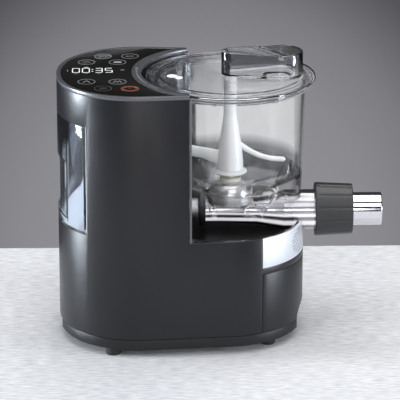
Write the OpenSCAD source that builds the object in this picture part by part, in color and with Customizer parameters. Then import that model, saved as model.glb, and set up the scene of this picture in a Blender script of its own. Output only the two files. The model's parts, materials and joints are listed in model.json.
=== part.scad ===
// Electric pasta maker: a tall motor and control column, a low base that carries the
// mixing bowl, and a screw extruder that pushes the dough sideways out of the bowl.
// Millimetres. +X is the way the pasta leaves, +Y is the back, +Z is up, and z = 0 is
// the surface that the feet stand on. Inside the modules x = 0 is the bowl's axis.

/* [Body] */
// Distance from the bowl's axis to the left end of the body
body_left = 180; // [165:1:200]
// Distance from the bowl's axis to the right end of the body
body_right = 77; // [72:1:84]
// Half of the body's depth at the column
half_depth_left = 93; // [90:0.5:100]
// Half of the body's depth at the round right end
half_depth_right = 85; // [82:0.5:88]
// Plan radius of the gently bulged left end
end_radius = 130; // [115:1:150]
// Plan radius of the two left corners
corner_radius = 83; // [70:1:86]
// Height of the column
body_height = 282; // [275:1:300]
// Height of the deck under the bowl
deck_height = 124; // [120:0.5:128]
// Top of the base ring
base_height = 20.5; // [17:0.5:24]
// Wall of the moulded housing
wall = 2.5; // [1.8:0.1:3.2]
// Height of the rubber feet
foot_height = 8; // [5:0.5:10]
// Gap between the lid and the concave wall behind the bowl
bay_gap = 4.5; // [3:0.5:6]
// Distance left of the bowl's axis at which the bay's side horns end
horn_reach = 44; // [36:1:56]

/* [Control panel] */
// Width of the trim rim round the glass
rim_width = 4.5; // [3:0.5:7]
// Width of the crescent strip along the bay
strip_width = 10; // [7:0.5:14]
// Thickness of the glass
glass_thickness = 2; // [1.5:0.1:3]

/* [Storage box and drawer] */
// Depth of the storage box, from the left end of the body
storage_depth = 31; // [22:1:34]
// Bottom of the storage box's opening
storage_low = 129; // [120:1:140]
// Height of the storage box's opening
storage_height = 116; // [96:1:126]
// Wall of the clear storage box
storage_wall = 2; // [1.5:0.1:3]
// Depth of the finger grip in the storage box
grip_depth = 10; // [6:0.5:14]
// Distance right of the bowl's axis at which the drawer front and vent band begin
drawer_reach = 31.5; // [28:0.5:38]
// Top of the drawer front
drawer_high = 84.5; // [78:0.5:88]
// Half of the width of the drawer tray
tray_half_width = 68; // [50:1:70]
// Bottom of the vent band
vent_low = 91.5; // [88:0.5:98]
// Depth of the finger scoop under the drawer
scoop_depth = 7.3; // [4:0.1:9]

/* [Bowl and lid] */
// Outer radius of the bowl at its rim
bowl_top_radius = 78; // [76:0.5:79]
// How much narrower the bowl is at its foot
bowl_taper = 3.5; // [2.5:0.5:8]
// Depth of the bowl's rim below the top of the column
rim_drop = 16.5; // [14:0.5:27]
// Height of the bowl's foot edge above the screw's axis
foot_rise = 26.5; // [24:0.5:30]
// Wall of the clear bowl
bowl_wall = 2.5; // [2:0.1:3.2]
// Height of the bowl's floor at the wall above the screw's axis
floor_rise = 45.5; // [39:0.5:50]
// How far the lid reaches past the bowl
lid_overhang = 10; // [8:0.5:11]
// Width of the lid's low rim round the raised window
lid_rim_width = 11.5; // [9:0.5:16]
// Wall of the lid
lid_wall = 2.5; // [2:0.1:3]
// Height of the filler collar above the lid
collar_rise = 24.5; // [16:0.5:32]

/* [Mixer] */
// Radius of the mixer's neck
mixer_neck_radius = 6.8; // [6:0.1:8]
// Radius of the mixer's foot
mixer_foot_radius = 13.7; // [12:0.1:15]
// Distance from the curved arm's tip to the bowl's wall
arm_clearance = 14; // [4:1:24]
// Distance from the wide blade's tip to the bowl's wall
blade_clearance = 6; // [4:1:16]
// Thickness of the arm and the blade
arm_thickness = 5; // [3.5:0.5:7]

/* [Extruder] */
// Height of the screw's axis above the deck
axis_rise = 6.5; // [5:0.5:9]
// Outer radius of the barrel at its outlet
barrel_radius = 20.7; // [19.5:0.1:21.5]
// Outer radius of the barrel at the gear end
barrel_tail_radius = 13.4; // [13:0.1:14.5]
// Outer radius of the barrel under the bowl's throat
middle_radius = 15.5; // [15:0.1:16.5]
// Wall of the barrel
barrel_wall = 2.2; // [1.8:0.1:2.4]
// End of the barrel, from the bowl's axis
barrel_end = 104; // [96:1:108]
// Length of the ring nut
nut_length = 39.4; // [36:0.1:44]
// How far the ring nut stands out from the barrel
nut_rim = 7.5; // [6.5:0.1:9]
// How much narrower the ring nut is at the nozzle side
nut_taper = 1.8; // [0.5:0.1:2.4]
// How much narrower the nozzle is than the barrel
nozzle_step = 3.5; // [3:0.1:5]
// Length of the nozzle that stands out of the nut
nozzle_reach = 31.4; // [26:0.1:38]
// Pitch of the screw
screw_pitch = 34; // [24:1:40]
// Depth of the screw's channel at the outlet
channel_depth = 5.5; // [4:0.5:9]
// Thickness of the screw's flight
flight_thickness = 2.6; // [2:0.1:3.2]

/* [Drive] */
// Depth of the motor's axis below the screw's axis
motor_drop = 52.5; // [51:0.5:54]
// Outer radius of the motor
motor_radius = 30; // [27:0.5:30]
// Length of the motor's can
motor_length = 74; // [66:1:76]
// Module of the first gear stage
first_module = 1; // [1:0.05:1]
// Module of the second gear stage
second_module = 1.5; // [1.5:0.05:1.5]
// Module of the mixer's gears
mixer_module = 1.6; // [1.6:0.05:1.6]
// Radius of the output shaft
shaft_radius = 6; // [5:0.5:6.5]

/* [Fits] */
// Radial clearance of a shaft in its bearing
running_fit = 0.05; // [0.03:0.01:0.08]
// Gap between pieces that move past each other
gap = 0.4; // [0.3:0.05:0.5]
// Gap between fixed pieces
seat_gap = 0.2; // [0.1:0.05:0.3]

/* [Hidden] */
$fn = 96;

lid_radius = bowl_top_radius + lid_overhang;
window_radius = lid_radius - lid_rim_width;
bay_radius = lid_radius + bay_gap;
bowl_foot_radius = bowl_top_radius - bowl_taper;
storage_reach = body_left - storage_depth;
storage_high = storage_low + storage_height;
drive_height = deck_height + axis_rise;
motor_height = drive_height - motor_drop;
bowl_rim = body_height - rim_drop;
bowl_foot = drive_height + foot_rise;
floor_high = drive_height + floor_rise;
nut_radius = barrel_radius + nut_rim;
nozzle_radius = barrel_radius - nozzle_step;
nut_overlap = 15.2;
nut_start = barrel_end - nut_overlap;
nut_end = nut_start + nut_length;
nozzle_end = nut_end + nozzle_reach;
// The barrel's steps along the screw, from the gear end to the outlet.
tail_x = -28;
taper_start = -10;
taper_middle = 28;
taper_end = 56;
// The origin is the middle of the whole length, so the bowl's axis stands right of it.
axis_x = (body_left - nozzle_end) / 2;
segments = 16;
eps = 0.01;
cut = 1;

// Plan outline of the body, taken in by inset all round: the round right end, the two
// left corners that are tangent to it, and the bulged left end.
right_centre = [body_right - half_depth_right, 0];
end_centre = [end_radius - body_left, 0];
corner_y = half_depth_left - corner_radius;
corner_centre = [end_centre[0] - sqrt(pow(end_radius - corner_radius, 2) - pow(corner_y, 2)),
    corner_y];
corner_step = corner_centre - right_centre;
side_angle = atan2(corner_step[1], corner_step[0])
    - acos((half_depth_right - corner_radius) / norm(corner_step));
corner_angle = 180 - atan2(corner_y, end_centre[0] - corner_centre[0]);

function arc(centre, radius, from, to, steps = segments) = [for (i = [0:steps])
    centre + radius * [cos(from + (to - from) * i / steps), sin(from + (to - from) * i / steps)]];
function plan_half(inset) = concat(
    arc(right_centre, half_depth_right - inset, 0, side_angle),
    arc(corner_centre, corner_radius - inset, side_angle, corner_angle),
    arc(end_centre, end_radius - inset, corner_angle, 180, 4));
function flipped(points) = [for (i = [len(points) - 1:-1:0]) [points[i][0], -points[i][1]]];
function inner_points(points) = [for (i = [1:len(points) - 2]) points[i]];

module plan(inset = 0) {
    half = plan_half(inset);
    polygon(concat(half, inner_points(flipped(half))));
}

// The open bay round the bowl: the concave circle and everything right of the horns.
module bay_plan(grow = 0) {
    circle(bay_radius + grow);
    translate([-horn_reach - grow, -2 * half_depth_left])
        square([4 * body_right, 4 * half_depth_left]);
}

module at_axis() {
    translate([axis_x, 0, 0]) children();
}

// Stands a flat shape up: its x runs along Y, its y along Z, and it is extruded along +X.
module along_x(from) {
    translate([from, 0, 0]) rotate([90, 0, 90]) children();
}

module rod_x(radius, from, to, height = drive_height, side = 0) {
    translate([from, side, height]) rotate([0, 90, 0]) cylinder(r = radius, h = to - from);
}

module slab(from, to) {
    translate([0, 0, from]) linear_extrude(to - from) children();
}

module block(from, to) {
    translate(from) cube(to - from);
}

// ---- The trough in the deck that the barrel lies in ----
end_cap_radius = barrel_tail_radius + 3.4;
trough_start = -bay_radius + 4;
trough_step = taper_middle - 1;

module trough(grow = 0) {
    rod_x(end_cap_radius + gap + grow, trough_start - grow, body_right + 10);
    rod_x(barrel_radius + gap + grow, trough_step - grow, body_right + 10);
}

// ---- Housing ----
scoop_radius = 19.6;

module drawer_scoop(grow = 0) {
    centre_x = body_right - scoop_depth + scoop_radius;
    translate([centre_x, half_depth_left, base_height]) rotate([90, 0, 0])
        cylinder(r = scoop_radius + grow, h = 2 * half_depth_left);
}

module base_plan(inset = 0) {
    left_undercut = 3;
    intersection() {
        plan(0.5 + inset);
        translate([-body_left + left_undercut + inset, -half_depth_left])
            square([body_left + body_right - left_undercut - scoop_depth - 2 * inset,
                2 * half_depth_left]);
    }
}

base_lip = 6;
screw_places = [for (side = [-1, 1]) each [[60 - body_left, side * (half_depth_left - 33)],
    [20, side * (half_depth_right - 27)]]];

module base_pan() {
    floor_z = foot_height;
    plate = 3;
    color("dimgray") at_axis() difference() {
        union() {
            slab(floor_z, floor_z + 2) base_plan(2);
            slab(floor_z + 2, base_height - 0.6) base_plan();
            intersection() {
                slab(floor_z + 2, base_height + base_lip) base_plan(wall + seat_gap);
                block([-body_left, -half_depth_left, 0], [tray_start - 1, half_depth_left, body_height]);
            }
        }
        slab(floor_z + plate, body_height) base_plan(2 * wall + seat_gap);
        for (p = screw_places) translate([p[0], p[1], floor_z - cut]) cylinder(r = 4.2, h = 2 + cut);
        for (i = [-3:3])
            block([-70 + 12 * i, -24, floor_z - cut], [-66 + 12 * i, 24, floor_z + plate + cut]);
    }
}

foot_radius = 9;
foot_places = [for (side = [-1, 1]) each [[57 - body_left, side * (half_depth_left - 17)],
    [body_right - 39, side * (half_depth_right - 35)]]];

module rubber_feet() {
    color("black") at_axis() for (p = foot_places) translate([p[0], p[1], 0])
        cylinder(r1 = foot_radius - 1, r2 = foot_radius, h = foot_height);
}

module storage_window(grow = 0) {
    block([-body_left - 10, -half_depth_left - 10, storage_low - grow],
        [-storage_reach + grow, half_depth_left + 10, storage_high + grow]);
}

module drawer_zone(low, high) {
    block([drawer_reach, -half_depth_left - 10, low], [body_right + 10, half_depth_left + 10, high]);
}

bezel_height = 4;
grommet_x = round(corner_centre[0]);
grommet_z = 40;
grommet_radius = 8;

module main_shell() {
    color("darkslategray") at_axis() difference() {
        slab(base_height, body_height - bezel_height) plan();
        slab(base_height - cut, body_height) plan(wall);
        slab(deck_height, body_height) bay_plan();
        storage_window();
        drawer_zone(base_height - cut, drawer_high + gap);
        drawer_zone(vent_low, deck_height + cut);
        trough();
        translate([grommet_x, half_depth_left - 3 * wall, grommet_z]) rotate([-90, 0, 0])
            cylinder(r = grommet_radius, h = 4 * wall);
    }
}

liner_wall = 2.5;

module bay_liner() {
    color("black") at_axis() difference() {
        union() {
            slab(deck_height - liner_wall, body_height - bezel_height) intersection() {
                plan(wall + seat_gap);
                bay_plan(liner_wall);
            }
            intersection() {
                slab(drive_height - 40, deck_height) plan(wall + seat_gap);
                trough(liner_wall);
            }
        }
        slab(deck_height, body_height) bay_plan();
        trough();
        rod_x(coupling_radius + 2 * gap, -bay_radius - 10, -bay_radius + 20);
    }
}

module horn_trims() {
    color("slategray") at_axis() slab(deck_height + seat_gap, body_height - bezel_height - seat_gap)
        for (side = [-1, 1]) scale([1, side]) intersection() {
            difference() {
                plan();
                circle(bay_radius + 1);
            }
            translate([-horn_reach + seat_gap, 0]) square([2.2, half_depth_left]);
        }
}

module glass_plan(inset = 0) {
    difference() {
        plan(rim_width + inset);
        circle(bay_radius + strip_width + inset);
    }
}

bezel_plate = 2;

module display_plan(grow = 0) {
    translate([37.4 - body_left, 5.4]) square([46 + 2 * grow, 21 + 2 * grow], center = true);
}

module top_bezel() {
    top = body_height;
    color("gray") at_axis() difference() {
        slab(top - bezel_height, top) plan();
        slab(top - bezel_height - cut, top + cut) bay_plan();
        slab(top - bezel_height + bezel_plate, top + cut) glass_plan();
        slab(top - bezel_height - cut, top) display_plan(1);
    }
}

module control_glass() {
    low = body_height - bezel_height + bezel_plate;
    color("black") at_axis() slab(low, low + glass_thickness - seat_gap) glass_plan(seat_gap);
}

vent_rows = 5;
vent_columns = 11;
vent_hole = 1.6;

module vent_band() {
    middle = (vent_low + deck_height) / 2;
    row_step = 5;
    column_step = 6;
    color("silver") at_axis() difference() {
        slab(vent_low + seat_gap, deck_height - seat_gap) difference() {
            plan();
            plan(wall);
        }
        block([-body_left - 10, -half_depth_left - 10, 0],
            [drawer_reach + seat_gap, half_depth_left + 10, body_height]);
        trough(seat_gap);
        for (row = [0:vent_rows - 1], column = [0:vent_columns - 1]) {
            turn = (column - (vent_columns - 1) / 2 + (row % 2) / 2) * column_step;
            translate([right_centre[0], 0, middle + (row - (vent_rows - 1) / 2) * row_step])
                rotate([0, 90, turn]) translate([0, 0, half_depth_right - 2 * wall])
                    cylinder(r = vent_hole, h = 4 * wall, $fn = 16);
        }
    }
}

module inlet_grommet() {
    depth = 12;
    face = half_depth_left - 1.2;
    color("black") at_axis() translate([grommet_x, face - depth, grommet_z]) rotate([-90, 0, 0])
        difference() {
            union() {
                cylinder(r = grommet_radius - seat_gap, h = depth);
                cylinder(r = grommet_radius + 2.5, h = depth - 2.4);
            }
            translate([0, 0, -cut]) cylinder(r = 3.6, h = depth + 2 * cut);
        }
}

// ---- Storage box at the left end ----
module storage_pocket() {
    back = -storage_reach + 1.2;
    sheet = 1.8;
    color("black") at_axis() difference() {
        union() {
            intersection() {
                slab(storage_low - gap - sheet, storage_high + gap + sheet) plan(wall + seat_gap);
                block([-body_left, -half_depth_left, 0], [back + sheet, half_depth_left, body_height]);
            }
            for (y = [-46, 46], z = [board_low + 6, board_high - 18])
                rod_x(3, back, board_x - seat_gap, z, y);
        }
        block([-body_left - 10, -half_depth_left, storage_low - gap],
            [back, half_depth_left, storage_high + gap]);
    }
}

module storage_box() {
    low = storage_low + gap;
    high = storage_high - gap;
    inner_x = -storage_reach - gap;
    grip_low = low + 10;
    grip_high = low + 69;
    grip_x = -body_left + grip_depth;
    color("gainsboro") at_axis() difference() {
        intersection() {
            slab(low, high) plan();
            block([-body_left, -half_depth_left, 0], [inner_x, half_depth_left, body_height]);
        }
        difference() {
            intersection() {
                slab(low + storage_wall, high + cut) plan(storage_wall);
                block([-body_left, -half_depth_left, 0],
                    [inner_x - storage_wall, half_depth_left, body_height]);
            }
            block([-body_left, -half_depth_left, grip_low - storage_wall],
                [grip_x + storage_wall, half_depth_left, grip_high + storage_wall]);
        }
        block([-body_left - 1, -half_depth_left, grip_low], [grip_x, half_depth_left, grip_high]);
    }
}

// ---- Drawer at the right end ----
drawer_wall = 3;

module drawer_front() {
    low = base_height;
    color("darkslategray") at_axis() difference() {
        union() {
            slab(low, drawer_high) difference() {
                plan();
                plan(drawer_wall);
            }
            intersection() {
                slab(low, drawer_high) plan();
                drawer_scoop(drawer_wall);
            }
        }
        block([-body_left - 10, -half_depth_left - 10, 0],
            [drawer_reach + gap, half_depth_left + 10, body_height]);
        drawer_scoop();
    }
}

die_radius = barrel_radius - 0.4;
die_centre_x = body_right - scoop_depth - drawer_wall - 1.4 - die_radius;
tray_start = die_centre_x - die_radius - 2.7;
tray_low = base_height + 0.8;
tray_wall = 1.6;

module tray_plan(inset = 0) {
    intersection() {
        plan(drawer_wall + seat_gap + inset);
        translate([tray_start + inset, -tray_half_width + inset])
            square([body_right, 2 * (tray_half_width - inset)]);
    }
}

module drawer_tray() {
    color("gray") at_axis() difference() {
        slab(tray_low, drawer_high - 2) tray_plan();
        slab(tray_low + tray_wall, drawer_high) tray_plan(tray_wall);
        drawer_scoop(drawer_wall + seat_gap);
        rod_x(motor_radius + 1.5, 0, fan_start + fan_width + 5.5, motor_height);
    }
}

module spare_dies() {
    die_gap = 1.2;
    z = tray_low + tray_wall + seat_gap;
    pile = die_thickness + seat_gap;
    color("whitesmoke") at_axis() for (p = [[-1, 0], [1, 0], [1, pile]])
        translate([die_centre_x, p[0] * (die_radius + 1.7), z + p[1]]) difference() {
            cylinder(r = die_radius, h = die_thickness);
            for (i = [-2:2]) translate([-11 + abs(i), i * 5 - die_gap, -cut])
                cube([22 - 2 * abs(i), 2 * die_gap, die_thickness + 2 * cut]);
        }
}

// ---- Electronics ----
board_top = body_height - bezel_height - 6;

module control_board() {
    color("darkgreen") at_axis() difference() {
        slab(board_top - 1.6, board_top) difference() {
            plan(14);
            circle(bay_radius + strip_width + 10);
            display_plan(1);
        }
        for (p = board_screw_places) translate([p[0], p[1], board_top - 5]) cylinder(r = 1.6, h = 10);
    }
}

board_screw_places = [for (side = [-1, 1]) each [[20 - body_left, 30 * side],
    [68 - body_left, side * (half_depth_left - 27)]]];

module board_screws() {
    color("silver") at_axis() for (p = board_screw_places) translate([p[0], p[1], 0]) {
        translate([0, 0, board_top - 1.6 - 1.8]) cylinder(r = 3, h = 1.8);
        translate([0, 0, board_top - 1.6]) cylinder(r = 1.5, h = 1.6 + 6);
    }
}

module display_module() {
    color("black") at_axis()
        slab(board_top - 6, body_height - bezel_height + bezel_plate - seat_gap) display_plan();
}

board_x = -storage_reach + 8;

board_low = drive_height + 51.5;
board_high = board_top - 14;

module power_board() {
    front = board_x + 1.6;
    color("darkgreen") at_axis() {
        block([board_x, -52, board_low], [front, 52, board_high]);
        block([front, -44, board_low + 8], [front + 22.4, -10, board_low + 40]);
        for (y = [8, 32]) translate([front, y, board_low + 18]) rotate([0, 90, 0]) cylinder(r = 9, h = 26);
        block([front, -40, board_high - 26], [front + 12.4, 36, board_high - 8]);
    }
}

module lid_switch() {
    color("black") at_axis() translate([-bay_radius - liner_wall - 10.4, -14, bowl_rim - 11.5])
        cube([10, 28, 16]);
}

// ---- Gears ----
first_pinion_teeth = 12;
first_wheel_teeth = 48;
second_pinion_teeth = 14;
second_wheel_teeth = 50;
mixer_pinion_teeth = 10;
mixer_wheel_teeth = 20;

function gear_points(teeth, mod) = [for (i = [0:teeth - 1]) each
    let (pitch = 360 / teeth, root = mod * (teeth / 2 - 1.25), tip = mod * (teeth / 2 + 0.95),
        middle = mod * teeth / 2)
    [for (corner = [[root, -0.32], [middle, -0.21], [tip, -0.1], [tip, 0.1], [middle, 0.21], [root, 0.32]])
        corner[0] * [cos(pitch * (i + corner[1])), sin(pitch * (i + corner[1]))]]];

module gear(teeth, mod, width, from, place, turn) {
    along_x(from) translate(place) rotate(turn) linear_extrude(width) polygon(gear_points(teeth, mod));
}

// The two shaft distances set where the compound gear stands, beside the line from the
// motor to the output shaft. Places are [y, z].
first_distance = first_module * (first_pinion_teeth + first_wheel_teeth) / 2;
second_distance = second_module * (second_pinion_teeth + second_wheel_teeth) / 2;
rise = drive_height - motor_height;
compound_rise = (pow(first_distance, 2) - pow(second_distance, 2) + pow(rise, 2)) / (2 * rise);
compound_side = sqrt(pow(first_distance, 2) - pow(compound_rise, 2));
motor_place = [0, motor_height];
compound_place = [compound_side, motor_height + compound_rise];
output_place = [0, drive_height];
first_direction = atan2(compound_rise, compound_side);
second_direction = atan2(rise - compound_rise, -compound_side);

gearbox_front = -bay_radius - liner_wall - 4.5;
gearbox_back = gearbox_front - 32.5;
cover_thickness = 3;
gearbox_wall = 2.5;
bearing_radius = 13;
pin_radius = 3;

module gearbox_outline(inset = 0) {
    hull() {
        translate(output_place) circle(43 - inset, $fn = 48);
        translate(compound_place) circle(30 - inset, $fn = 48);
        translate(motor_place) circle(14 - inset, $fn = 48);
    }
}

module gearbox_case() {
    color("lightsteelblue") at_axis() difference() {
        along_x(gearbox_back) linear_extrude(gearbox_front - gearbox_back) gearbox_outline();
        along_x(gearbox_back + 7) linear_extrude(40) gearbox_outline(gearbox_wall);
        rod_x(bearing_radius, gearbox_back + 2, gearbox_front);
        rod_x(pin_radius, gearbox_back + 3, gearbox_front, compound_place[1], compound_place[0]);
    }
}

module gearbox_cover() {
    color("lightsteelblue") at_axis() difference() {
        union() {
            along_x(gearbox_front) linear_extrude(cover_thickness) gearbox_outline();
            rod_x(bearing_radius + 3, gearbox_front - 4, gearbox_front);
        }
        rod_x(bearing_radius, gearbox_front - 4 - cut, gearbox_front + cover_thickness - 0.5);
        rod_x(shaft_radius + 1, gearbox_front - 10, gearbox_front + 10);
        rod_x(pin_radius, gearbox_front - cut, gearbox_front + 2, compound_place[1], compound_place[0]);
        rod_x(first_module * first_pinion_teeth / 2 + 2, gearbox_front - cut, gearbox_front + 10,
            motor_height);
    }
}

module output_bearings() {
    color("silver") at_axis() for (from = [gearbox_back + 2.2, gearbox_front - 4]) difference() {
        rod_x(bearing_radius - 0.02, from, from + 4.6);
        rod_x(shaft_radius + running_fit, from - cut, from + 6);
    }
}

first_gear_x = gearbox_front - 11;
second_gear_x = gearbox_front - 23.5;

module compound_gear() {
    color("ivory") at_axis() difference() {
        union() {
            gear(first_wheel_teeth, first_module, 6, first_gear_x, compound_place,
                first_direction + 180 + 180 / first_wheel_teeth);
            gear(second_pinion_teeth, second_module, first_gear_x + 1 - second_gear_x, second_gear_x,
                compound_place, second_direction);
        }
        rod_x(pin_radius + running_fit, gearbox_back, gearbox_front, compound_place[1], compound_place[0]);
    }
}

module compound_pin() {
    color("silver") at_axis()
        rod_x(pin_radius - 0.02, gearbox_back + 3.2, gearbox_front + 1.8,
            compound_place[1], compound_place[0]);
}

module output_gear() {
    color("ivory") at_axis() difference() {
        union() {
            gear(second_wheel_teeth, second_module, 9, second_gear_x + 0.5, output_place,
                second_direction + 180 + 180 / second_wheel_teeth);
            rod_x(shaft_radius + 6, second_gear_x + 0.5, second_gear_x + 14);
        }
        rod_x(shaft_radius, gearbox_back, gearbox_front);
        for (i = [0:5]) rotate_about_drive(60 * i) rod_x(7, gearbox_back, gearbox_front, drive_height + 25);
    }
}

module rotate_about_drive(turn) {
    translate([0, 0, drive_height]) rotate([turn, 0, 0]) translate([0, 0, -drive_height]) children();
}

coupling_start = 4.5 - bay_radius;
coupling_end = tail_x - 5.5;
coupling_radius = 12;
coupling_depth = 13;
coupling_length = coupling_end - coupling_start;
boss_step = coupling_start + 0.2936 * coupling_length;
boss_end = coupling_start + 0.5138 * coupling_length;
tail_radius = 6;

module output_shaft() {
    color("silver") at_axis() rod_x(shaft_radius - 0.02, gearbox_back + 2.4, coupling_start + 30);
}

module drive_coupling() {
    color("silver") at_axis() difference() {
        union() {
            rod_x(coupling_radius, coupling_start, coupling_end);
            rod_x(coupling_radius + 2, coupling_end - 16, coupling_end - 12);
        }
        rod_x(shaft_radius, coupling_start - cut, coupling_start + 30.5);
        along_x(coupling_end - coupling_depth) translate(output_place)
            cylinder(r = tail_radius + gap, h = coupling_depth + cut, $fn = 6);
    }
}

module drive_boss() {
    color("black") at_axis() difference() {
        union() {
            rod_x(coupling_radius + 10, 3 - bay_radius, boss_step);
            rod_x(coupling_radius + 4, boss_step, boss_end);
        }
        rod_x(coupling_radius + gap, -bay_radius, 40 - bay_radius);
        slab(0, body_height) difference() {
            square(400, center = true);
            circle(bay_radius - seat_gap);
        }
        difference() {
            slab(0, deck_height + seat_gap) square(400, center = true);
            trough(-seat_gap);
        }
    }
}

// ---- Motor and fan ----
motor_start = gearbox_front + 9.5;
motor_end = motor_start + motor_length;
motor_shaft_radius = 3;
rotor_radius = 19;

module motor_can() {
    color("silver") at_axis() difference() {
        rod_x(motor_radius, motor_start, motor_end, motor_height);
        rod_x(motor_radius - 2, motor_start - cut, motor_end + cut, motor_height);
    }
}

module motor_stator() {
    color("peru") at_axis() difference() {
        rod_x(motor_radius - 2, motor_start + 14, motor_end - 14, motor_height);
        rod_x(rotor_radius + 0.6, motor_start, motor_end, motor_height);
    }
}

module motor_end_bells() {
    color("silver") at_axis() difference() {
        for (from = [motor_start - 3, motor_end]) {
            rod_x(motor_radius, from, from + 3, motor_height);
        }
        rod_x(motor_shaft_radius + running_fit, motor_start - 20, motor_end + 20, motor_height);
        for (turn = [45:90:315]) translate([0, 22 * cos(turn), motor_height + 22 * sin(turn)])
            rotate([0, 90, 0]) cylinder(r = 4, h = 400, center = true, $fn = 32);
    }
}

fan_start = motor_end + 8;
fan_width = 14;
fan_radius = 26;

module motor_rotor() {
    color("dimgray") at_axis() {
        rod_x(motor_shaft_radius, first_gear_x - 1, fan_start + fan_width - 2, motor_height);
        rod_x(rotor_radius, motor_start + 16, motor_end - 16, motor_height);
    }
}

module motor_pinion() {
    color("gold") at_axis() difference() {
        gear(first_pinion_teeth, first_module, 9, first_gear_x - 1, motor_place, first_direction);
        rod_x(motor_shaft_radius + eps, first_gear_x - 5, gearbox_front + 5, motor_height);
    }
}

fan_blades = 7;

module cooling_fan() {
    color("dimgray") at_axis() difference() {
        union() {
            rod_x(9, fan_start, fan_start + fan_width, motor_height);
            for (i = [0:fan_blades - 1]) translate([fan_start + fan_width / 2, 0, motor_height])
                rotate([360 / fan_blades * i, 0, 0]) translate([0, 0, 8]) rotate([0, 0, 40])
                    translate([-7, -0.8, 0]) cube([14, 1.6, fan_radius - 9]);
        }
        rod_x(motor_shaft_radius + eps, fan_start - 5, fan_start + fan_width - 2 + eps, motor_height);
    }
}

module fan_shroud() {
    outer = motor_radius;
    color("black") at_axis() difference() {
        rod_x(outer, motor_end + 3, fan_start + fan_width + 4, motor_height);
        rod_x(outer - 2, motor_end + 2, fan_start + fan_width + 5, motor_height);
    }
}

motor_screw_circle = 22;

module motor_screws() {
    color("silver") at_axis() for (turn = [0:90:270])
        translate([0, motor_screw_circle * cos(turn), motor_height + motor_screw_circle * sin(turn)])
            rotate([0, 90, 0]) translate([0, 0, motor_end + 3 + eps]) cylinder(r = 2.6, h = 2.4, $fn = 32);
}

module base_screws() {
    color("silver") at_axis() for (p = screw_places) translate([p[0], p[1], foot_height + 0.2])
        cylinder(r = 3.8, h = 1.8);
}

// ---- Bowl ----
throat_reach = 30;
throat_radius = 16.8;
neck_radius = 23.8;
throat_foot = drive_height + barrel_radius + gap;
floor_low = throat_foot + 0.4;
floor_start = neck_radius + barrel_wall + seat_gap;
floor_slope = (floor_high - floor_low) / (bowl_foot_radius - bowl_wall - floor_start);
function floor_z(radius) = floor_low + floor_slope * (radius - floor_start);
function bowl_outer(z) = bowl_foot_radius
    + (bowl_top_radius - bowl_foot_radius) * (z - bowl_foot) / (bowl_rim - bowl_foot);

// The oblong opening that joins the bowl to the barrel: round about the mixer's dome,
// and drawn out to the right over the screw.
module throat_plan(grow = 0) {
    hull() {
        circle(neck_radius + grow, $fn = 64);
        translate([throat_reach, 0]) circle(throat_radius + grow, $fn = 48);
    }
}

module bowl() {
    sheet = bowl_wall;
    flange = bowl_outer(bowl_rim) + 4;
    edge = bowl_outer(floor_high);
    color("lightgray") at_axis() difference() {
        union() {
            rotate_extrude() polygon([[bowl_outer(bowl_foot), bowl_foot],
                [bowl_outer(bowl_rim - 3), bowl_rim - 3], [flange, bowl_rim - 3], [flange, bowl_rim],
                [bowl_outer(bowl_rim) - sheet, bowl_rim], [edge - sheet, floor_high],
                [floor_start - 1, floor_low], [floor_start - 1, floor_low - sheet],
                [edge - sheet, floor_high - sheet], [bowl_outer(bowl_foot) - sheet, bowl_foot]]);
            intersection() {
                slab(throat_foot, floor_high) throat_plan(barrel_wall + seat_gap + sheet);
                rotate_extrude() polygon([[floor_start - 1, throat_foot - 1], [60, throat_foot - 1],
                    [60, floor_z(60) - 1], [floor_start - 1, floor_z(floor_start - 1) - 1]]);
            }
        }
        slab(throat_foot - 10, body_height) throat_plan(barrel_wall + seat_gap);
    }
}

module lid_outline(inset = 0) {
    hull() {
        translate([2.5, -3]) circle(12 - inset, $fn = 48);
        translate([52, -5]) circle(22.5 - inset, $fn = 64);
    }
}

lid_top = bowl_rim + 15;
lid_shoulder = lid_top - 2.5;
collar_high = lid_top + collar_rise;
skirt_low = bowl_rim + 0.6;
skirt_inner = lid_radius - 3;

module lid() {
    color("lightgray") at_axis() difference() {
        union() {
            rotate_extrude() polygon([[0, lid_top - lid_wall], [window_radius - 3, lid_top - lid_wall],
                [window_radius - 1.5, lid_shoulder - lid_wall], [skirt_inner, lid_shoulder - lid_wall],
                [skirt_inner, skirt_low], [lid_radius, skirt_low], [lid_radius, lid_shoulder - 1.5],
                [lid_radius - 1.5, lid_shoulder], [window_radius + 1.5, lid_shoulder],
                [window_radius, lid_top], [0, lid_top]]);
            slab(lid_top - eps, collar_high) lid_outline();
        }
        slab(lid_top + 1, collar_high + cut) lid_outline(lid_wall);
        slab(lid_top - 2 * lid_wall, lid_top + 2) hull() {
            for (x = [40, 54]) translate([x, -12]) circle(7.5, $fn = 48);
        }
    }
}

module lid_seal() {
    color("dimgray") at_axis() rotate_extrude() polygon([[skirt_inner - 6, bowl_rim + gap],
        [skirt_inner - gap, bowl_rim + gap], [skirt_inner - gap, lid_shoulder - lid_wall - gap],
        [skirt_inner - 4, lid_shoulder - lid_wall - gap], [skirt_inner - 4, bowl_rim + 4]]);
}

// ---- Mixer ----
skirt_z = drive_height + 42;
mixer_low = skirt_z + 5;
mixer_high = bowl_rim + 7.5;
mixer_waist = mixer_low + 59.5;
arm_reach = bowl_foot_radius - bowl_wall - arm_clearance;
blade_reach = bowl_foot_radius - bowl_wall - blade_clearance;
drive_square = 4;

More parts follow.
